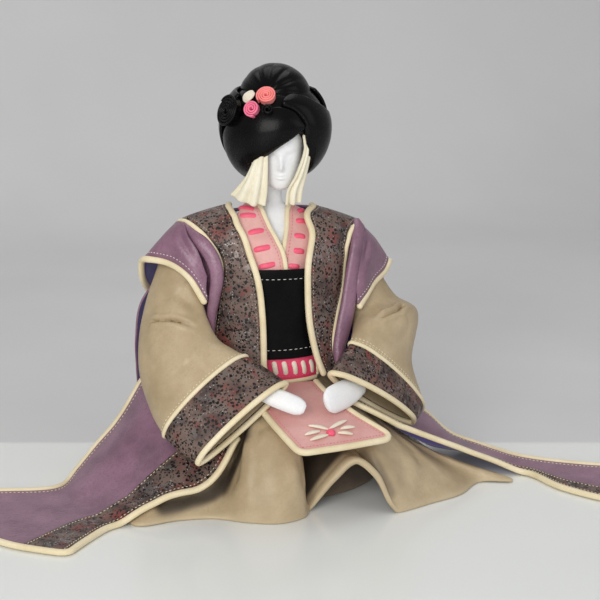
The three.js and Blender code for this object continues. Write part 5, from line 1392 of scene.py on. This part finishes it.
# Azimuth and elevation at the lower edge and at the upper edge.
SWEEP_ROWS = [
    [14.5, 1.5, 14, 9], [4, -6, 6, 20.5], [-9, -14, -10, 26], [-26, -26, -34, 22], [-44, -39, -60, 10],
    [-62, -50, -84, -8], [-80, -57, -98, -34], [-88, -60, -98, -50]]
BAND_ROWS = [
    [-4, 30, -2, 37], [8, 24, 9, 42], [17, 13, 27, 38], [21, 0, 41, 30], [24, -11, 58, 20],
    [29, -22, 72, 13], [34, -35, 84, 4], [42, -48, 96, -14], [58, -57, 100, -42]]
BACK_HAIR_ROWS = [
    [108, -46, 88, 42], [130, -46, 120, 44], [160, -46, 155, 46], [190, -46, 190, 46], [220, -46, 232, 44],
    [253, -42, 286, 40]]


def on_hair(azimuth, elevation, offset):
    az, el = np.radians(azimuth), np.radians(elevation)
    rise = np.where(np.asarray(elevation) > 0, HAIR_RISE, HAIR_DROP) + offset
    return HAIR_CENTRE + np.stack([(HAIR_WIDE + offset) * np.cos(el) * np.sin(az),
                                   -(HAIR_DEEP + offset) * np.cos(el) * np.cos(az), rise * np.sin(el)], -1)


def hair_patch(rows, swell, curl):
    """A patch that swells between its edges and curls in at the lower one."""
    v = np.linspace(0, 1, HAIR_ACROSS + 1)[None, :]
    offset = HAIR_OFFSET + swell * np.sin(math.pi * v ** SWELL_LEAN) - curl * (1 - ease(v / CURL_REACH))
    return edge_grid(rows, HAIR_ACROSS, HAIR_ALONG,
                     lambda az, el: on_hair(az, el, np.broadcast_to(offset, az.shape)))


for name, node, rows, swell, curl in (
        ("hair_sweep_hide", "hair_front_sweep", SWEEP_ROWS, 2.6, 1.2),
        ("hair_band_hide", "hair_side_band", BAND_ROWS, 1.8, 1.0),
        ("hair_back_hide", "hair_back", BACK_HAIR_ROWS, 1.0, 1.0)):
    grid = hair_patch(rows, swell, curl)
    piece(name, Sheet(grid, HAIR_CENTRE, HAIR_LEATHER / 2).mesh(), hair_hide, [node], "black_leather", "head")

# %% Crown
CROWN_CENTRE, CROWN_HALF = np.array([5, 6, 322.0]), np.array([31, 34, 30.0])
CROWN_AROUND, CROWN_STEPS, PLEATS, PLEAT_HIGH, PLEAT_AT, PLEAT_REACH = 144, 90, 6.5, 1.3, 0.75, 0.5
FAN_AT = unit(np.array([-0.45, -0.8, 0.25]))
azimuth = round_turn(CROWN_AROUND)
crown_unit = np.array([
    oval((0, 0, math.sin(lift)), (0, -1, 0), (1, 0, 0), math.cos(lift), math.cos(lift), azimuth)
    for lift in np.radians(np.linspace(-60, 89, CROWN_STEPS))])
fan_side = unit(np.cross(FAN_AT, (0, 0, 1)))
fan_up = np.cross(fan_side, FAN_AT)
fan_turn = np.arctan2(crown_unit @ fan_side, crown_unit @ fan_up)
fan_far = np.arccos(np.clip(crown_unit @ FAN_AT, -1, 1))
pleat = PLEAT_HIGH * np.abs(np.sin(PLEATS * fan_turn)) * mound(fan_far, PLEAT_AT, PLEAT_REACH)
crown = CROWN_CENTRE + crown_unit * (CROWN_HALF + (pleat - PLEAT_HIGH)[..., None])
piece("hair_crown_hide", loft(crown), hair_hide, ["hair_crown"], "black_leather", "head")

# %% Hair form
FACE_WINDOW, FACE_HALF, NAPE_Z = np.array([7, -52, 268.0]), np.array([27, 40, 37.0]), 262
PAD_AROUND, PAD_STEPS, PAD_INSIDE = 96, 60, -0.2
pad_rings = []
for elevation in np.linspace(-58, 88, PAD_STEPS):
    ring = on_hair(np.arange(PAD_AROUND) * 360 / PAD_AROUND, np.full(PAD_AROUND, elevation), PAD_INSIDE)
    inside = (ring - FACE_WINDOW) / FACE_HALF
    reach = np.linalg.norm(inside, axis=-1, keepdims=True)
    ring = np.where(reach < 1, FACE_WINDOW + inside / np.maximum(reach, 0.2) * FACE_HALF, ring)
    ring[:, 2] = np.maximum(ring[:, 2], NAPE_Z)
    pad_rings.append(ring)
pad = piece("hair_padding", loft(pad_rings), hair_hide, ["hair_pad"], "black_leather", "head")

# %% [markdown]
# Locks
#
# Two soft cream strips hang beside the face. They are gathered under the hair, so folds run down them
# and open towards the wavy foot.

# %% Locks
# Points in mm across each lock, row by row downwards.
LOCKS = {
    "left": [
        [[-12, -33, 283], [-18, -33, 279], [-23, -29, 274]],
        [[-12, -31, 267], [-21, -31, 265], [-28, -26, 262]],
        [[-12, -28, 251], [-24, -29, 251], [-34, -22, 253]],
        [[-13, -25, 239], [-25, -26, 240], [-39, -20, 247]]],
    "right": [
        [[18, -36, 296], [19.5, -35, 295], [21, -33.5, 293.5]],
        [[19.4, -34, 284], [21.7, -33, 283.6], [24, -30.5, 283]],
        [[12.8, -33, 264], [17, -31, 263.6], [21.6, -26.5, 263.5]],
        [[6.5, -30, 251], [12, -30, 250.4], [18, -26, 250]],
        [[6, -26, 239], [11, -27, 239], [17, -24, 240]]],
}
LOCK_HALF, LOCK_FOLDS, LOCK_ACROSS, LOCK_DOWN = 1.1, {"left": 2.6, "right": 2.0}, 48, 64
LOCK_INSIDE, LOCK_TOP_FOLD, LOCK_FOOT_FOLD = HAIR_CENTRE - (0, 0, 40), 0.5, 1.6
LOCK_SWAY, SWAY_TURNS = 0.6, 3
v, u = np.meshgrid(np.linspace(0, 1, LOCK_ACROSS + 1), np.linspace(0, 1, LOCK_DOWN + 1))
for side, rows in LOCKS.items():
    plain = Sheet(surface_through(rows, LOCK_ACROSS, LOCK_DOWN), LOCK_INSIDE)
    wave = np.cos(2 * math.pi * LOCK_FOLDS[side] * v + LOCK_SWAY * np.sin(SWAY_TURNS * u))
    fold = (LOCK_TOP_FOLD + LOCK_FOOT_FOLD * u) * wave
    sheet = Sheet(plain.grid + plain.out * fold[..., None], LOCK_INSIDE, LOCK_HALF)
    garment(f"lock_hide_{side}", sheet, lock_hide, [f"lock_{side}"], "cream_leather", "gathered", ["head"],
            body="head")

# %% [markdown]
# Rosettes
#
# The flowers in the hair are strips of leather wound on edge into flat spirals. The strip is swept along
# the spiral and leans outwards as it rises, as petals open.

# %% Rosettes
ROSETTE_STRIP, ROSETTE_GAP, ROSETTE_HEIGHT, ROSETTE_HALF = 1.1, 0.7, 5.0, 0.78
ROSETTE_OPEN, CENTRE_PROUD, TURN_STEPS, RISE_STEPS = 0.5, 0.12, 40, 9
ON_SWEEP = HAIR_OFFSET + HAIR_LEATHER / 2 + CLEARANCE
# Azimuth, elevation and offset on the hair, turns, size, leather and slot.
ROSETTES = {
    "hot_pink": (-38, 23, ON_SWEEP, 2.8, 1.0, rose_hide, "hot_pink_leather"),
    "coral": (-26, 41, CLEARANCE, 3.6, 1.0, coral_hide, "coral_leather"),
    "black_small": (-21.5, 22.5, ON_SWEEP, 1.6, 1.0, hair_hide, "black_leather"),
    "black_large": (-70, 18, ON_SWEEP - 1.2, 4.4, 1.4, hair_hide, "black_leather"),
}


def standing_frame(azimuth, elevation, offset):
    """The foot of a piece that stands on the hair, and two ways across and one out."""
    foot = on_hair(azimuth, elevation, offset)
    half = np.array([HAIR_WIDE + offset, HAIR_DEEP + offset, HAIR_RISE + offset])
    out = unit((foot - HAIR_CENTRE) / half ** 2)
    side = unit(np.cross((0, 0, 1), out))
    return foot, side, np.cross(out, side), out


for name, (azimuth, elevation, offset, turns, size, material, slot) in ROSETTES.items():
    foot, side, rise, out = standing_frame(azimuth, elevation, offset)
    angle = 2 * math.pi * np.arange(int(turns * TURN_STEPS) + 1) / TURN_STEPS
    wound = (ROSETTE_STRIP + ROSETTE_GAP) * (0.5 + angle / (2 * math.pi))
    rows = []
    for height in np.linspace(0, 1, RISE_STEPS):
        radius = size * (wound + ROSETTE_OPEN * height ** 2)
        lift = ROSETTE_HEIGHT * height * (1 + CENTRE_PROUD * (1 - angle / angle[-1]))
        rows.append(oval(foot + np.outer(lift, out), side, rise, radius, radius, angle))
    sheet = Sheet(np.array(rows), foot, ROSETTE_HALF * size)
    piece(f"rosette_{name}_coil", sheet.mesh(), material, [f"rosette_{name}"], slot, "head")

# %% Petal
BUD, BUD_WIDE, BUD_LONG, BUD_THICK, BUD_WAVE, BUD_CUP = (-54, 41, 2), 5.2, 6, 2, 0.06, 0.6
BUD_AROUND, BUD_STEPS = 64, 40
foot, side, rise, out = standing_frame(*BUD)
angle = round_turn(BUD_AROUND)
bud_rings = []
for lift in np.radians(np.linspace(-88, 88, BUD_STEPS)):
    wide = math.cos(lift) * (1 + BUD_WAVE * np.cos(3 * angle + 4 * lift))
    proud = BUD_THICK * math.sin(lift) + BUD_CUP * np.cos(2 * angle) * math.cos(lift)
    bud_rings.append(oval(foot + np.outer(proud, out), side, rise, BUD_WIDE * wide, BUD_LONG * wide, angle))
piece("petal_cream_bud", loft(bud_rings), petal_hide, ["petal_cream"], "cream_leather", "head")

# %% [markdown]
# Laces
#
# Flat thongs are threaded through slits: hot pink on the collars and cream on the hip panel. They repeat,
# so Geometry Nodes place them: a short arched strip stands on every point, turned by two attributes that
# give its run and the way out.

# %% Trees that sew on small things
def new_tree(name, sizes):
    """A tree that takes a mesh, sizes in metres and a material, and the sockets that give them."""
    tree = bpy.data.node_groups.new(name, "GeometryNodeTree")
    tree.interface.new_socket("Geometry", in_out="INPUT", socket_type="NodeSocketGeometry")
    for label, value in sizes.items():
        socket = tree.interface.new_socket(label, in_out="INPUT", socket_type="NodeSocketFloat")
        socket.default_value = value
    tree.interface.new_socket("Material", in_out="INPUT", socket_type="NodeSocketMaterial")
    tree.interface.new_socket("Geometry", in_out="OUTPUT", socket_type="NodeSocketGeometry")
    return tree, add(tree, "NodeGroupInput").outputs


def sew_on(tree, points, thing, run, size, material):
    """Ends a tree: a thing stands on every point along its run, and the attribute up is the way out."""
    rise = add(tree, "GeometryNodeInputNamedAttribute", {"Name": "up"}, data_type="FLOAT_VECTOR").outputs[0]
    along_run = add(tree, "FunctionNodeAlignRotationToVector", {"Vector": run}, axis="X").outputs[0]
    upright = add(tree, "FunctionNodeAlignRotationToVector", {"Rotation": along_run, "Vector": rise},
                  axis="Z", pivot_axis="X").outputs[0]
    placed = add(tree, "GeometryNodeInstanceOnPoints", {
        "Points": points, "Instance": thing, "Rotation": upright, "Scale": size}).outputs[0]
    real = add(tree, "GeometryNodeRealizeInstances", {0: placed}).outputs[0]
    covered = add(tree, "GeometryNodeSetMaterial", {"Geometry": real, "Material": material}).outputs[0]
    add(tree, "NodeGroupOutput", {0: covered})
    print(tree.name, "nodes:", len(tree.nodes))


def grown(obj, tree, values):
    """The plain mesh that a tree makes of an object, with the modifier taken off again."""
    modifier = obj.modifiers.new(tree.name, "NODES")
    modifier.node_group = tree
    for item in tree.interface.items_tree:
        if item.in_out == "INPUT" and item.name in values:
            modifier[item.identifier] = values[item.name]
    evaluated = obj.evaluated_get(bpy.context.evaluated_depsgraph_get())
    mesh = bpy.data.meshes.new_from_object(evaluated)
    obj.modifiers.clear()
    obj.data = mesh
    mesh.polygons.foreach_set("use_smooth", [True] * len(mesh.polygons))
    return len(mesh.polygons)


def attributed(name, points, edges, vectors):
    """A mesh of points and edges in mm that carries vectors for a tree to read."""
    mesh = bpy.data.meshes.new(name)
    mesh.from_pydata((np.asarray(points) * MM).tolist(), edges, [])
    for key, value in vectors.items():
        mesh.attributes.new(key, "FLOAT_VECTOR", "POINT").data.foreach_set("vector", np.ravel(value))
    return link_object(name, mesh)


print("node trees before:", len(bpy.data.node_groups))

# %% Lace tree
LACE_STEPS, LACE_FLAT, LACE_SINK, LACE_CREST = 10, 0.4, -0.9, 2.0
lace_tree, given = new_tree("thong_laces", {"Length": 0.013, "Width": 0.004, "Rise": 0.0016})
ahead, behind, half_width, under, crest = (
    add(lace_tree, "ShaderNodeMath", {0: given[label], 1: share}, operation="MULTIPLY").outputs[0]
    for label, share in (("Length", 0.5), ("Length", -0.5), ("Width", 0.5), ("Rise", LACE_SINK),
                         ("Rise", LACE_CREST)))
ends = {"Start": {0: behind, 2: under}, "Middle": {2: crest}, "End": {0: ahead, 2: under}}
bow = {label: add(lace_tree, "ShaderNodeCombineXYZ", place).outputs[0] for label, place in ends.items()}
arch = add(lace_tree, "GeometryNodeCurveQuadraticBezier", {"Resolution": LACE_STEPS, **bow}).outputs[0]
circle = add(lace_tree, "GeometryNodeCurvePrimitiveCircle", {
    "Resolution": LACE_STEPS, "Radius": half_width}).outputs[0]
section = add(lace_tree, "GeometryNodeTransform", {
    "Geometry": circle, "Scale": (1.0, LACE_FLAT, 1.0)}).outputs[0]
strip = add(lace_tree, "GeometryNodeCurveToMesh", {
    "Curve": arch, "Profile Curve": section, "Fill Caps": True}).outputs[0]
run = add(lace_tree, "GeometryNodeInputNamedAttribute", {"Name": "run"}, data_type="FLOAT_VECTOR").outputs[0]
sew_on(lace_tree, given["Geometry"], strip, run, (1.0, 1.0, 1.0), given["Material"])

# %% Laces on the collars and the hip panel
# Angle and height on the torso.
COLLAR_LACES = {"left": [(-56, 227.5), (-38.5, 223.4), (-22, 212.3), (-19.3, 201.6), (-16.7, 188.9)],
                "right": [(58, 227.6), (28.6, 220.9), (19, 210.1), (17.8, 199.4), (12.8, 187.4)]}
HIP_LACES = [(-30.2, 102.5), (-20, 102.4), (-9.8, 102.2), (0.4, 101.9), (11, 101.4), (21.4, 100.8),
             (31.8, 100.4)]
LACE_SIZE, LACE_TILT = {"left": (13.0, 4.6), "right": (9.5, 4.6)}, {"left": 0.2, "right": -0.15}
HIP_LACE_SIZE, HIP_LACE_TILT, LACE_RISE = (12.0, 4.4), math.radians(100), 1.1


def laced(name, spots, offset, size, tilt, material):
    """Thongs at angles and heights on the torso: tilt is the angle of their run."""
    angle, z = np.array(spots).T
    around = unit(on_body(TORSO, angle + 1, z, offset) - on_body(TORSO, angle - 1, z, offset))
    up = unit(on_body(TORSO, angle, z + 1, offset) - on_body(TORSO, angle, z - 1, offset))
    run = around * math.cos(tilt) + up * math.sin(tilt)
    laces = attributed(name, on_body(TORSO, angle, z, offset), [], {"run": run, "up": np.cross(around, up)})
    faces = grown(laces, lace_tree, {"Length": size[0] * MM, "Width": size[1] * MM, "Rise": LACE_RISE * MM,
                                     "Material": material})
    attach(laces, "figure")
    print(name, "laces:", len(spots), "faces:", faces)


for side, spots in COLLAR_LACES.items():
    level = COLLARS[side][0]
    offset = layer(level) + COLLAR_EASE * (level + 1) + LEATHER / 2
    laced(f"collar_laces_{side}", spots, offset, LACE_SIZE[side], LACE_TILT[side], lace_hide)
laced("hip_laces", HIP_LACES, HIP_OFFSET + LEATHER / 2, HIP_LACE_SIZE, HIP_LACE_TILT, petal_hide)

# %% [markdown]
# Stitches
#
# Every seam is sewn by hand in waxed thread. All rows of one thread are edges of one mesh, whose points
# carry the way out of the leather. The tree turns the edges into curves, measures off the pitch, and
# lays a small bead of thread along the run on every mark.

# %% Stitch tree
stitch_tree, given = new_tree("stitch_rows", {"Pitch": 0.0034, "Length": 0.0024, "Width": 0.0009})
curve = add(stitch_tree, "GeometryNodeMeshToCurve", {"Mesh": given["Geometry"]}).outputs[0]
marks = add(stitch_tree, "GeometryNodeResampleCurve", {"Curve": curve, "Length": given["Pitch"]},
            mode="LENGTH").outputs[0]
bead = add(stitch_tree, "GeometryNodeMeshUVSphere", {"Segments": 6, "Rings": 4, "Radius": 0.5}).outputs[0]
bead_size = add(stitch_tree, "ShaderNodeCombineXYZ", {
    0: given["Length"], 1: given["Width"], 2: given["Width"]}).outputs[0]
run = add(stitch_tree, "GeometryNodeInputTangent").outputs[0]
sew_on(stitch_tree, marks, bead, run, bead_size, given["Material"])

# %% Threads
# Linen, pitch, and length and width of a stitch in mm.
THREADS = {"cream": ("cream", 3.4, 2.1, 0.7), "white": ("white", 3.3, 2.1, 0.7),
           "sash": ("white", 4.8, 3.1, 0.6), "taupe": ("taupe", 2.8, 1.4, 0.6),
           "rose": ("rose", 3.0, 1.7, 0.7)}
for thread, (tone, pitch, long, wide) in THREADS.items():
    points, ups, edges = [], [], []
    for line, up in stitch_rows[thread]:
        edges += [(len(points) + i, len(points) + i + 1) for i in range(len(line) - 1)]
        points += list(line)
        ups += list(up)
    sewing = attributed(f"stitches_{thread}", points, edges, {"up": ups})
    faces = grown(sewing, stitch_tree, {"Pitch": pitch * MM, "Length": long * MM, "Width": wide * MM,
                                        "Material": linen[tone]})
    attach(sewing, "figure")
    print(thread, "thread: rows", len(stitch_rows[thread]), "faces", faces)
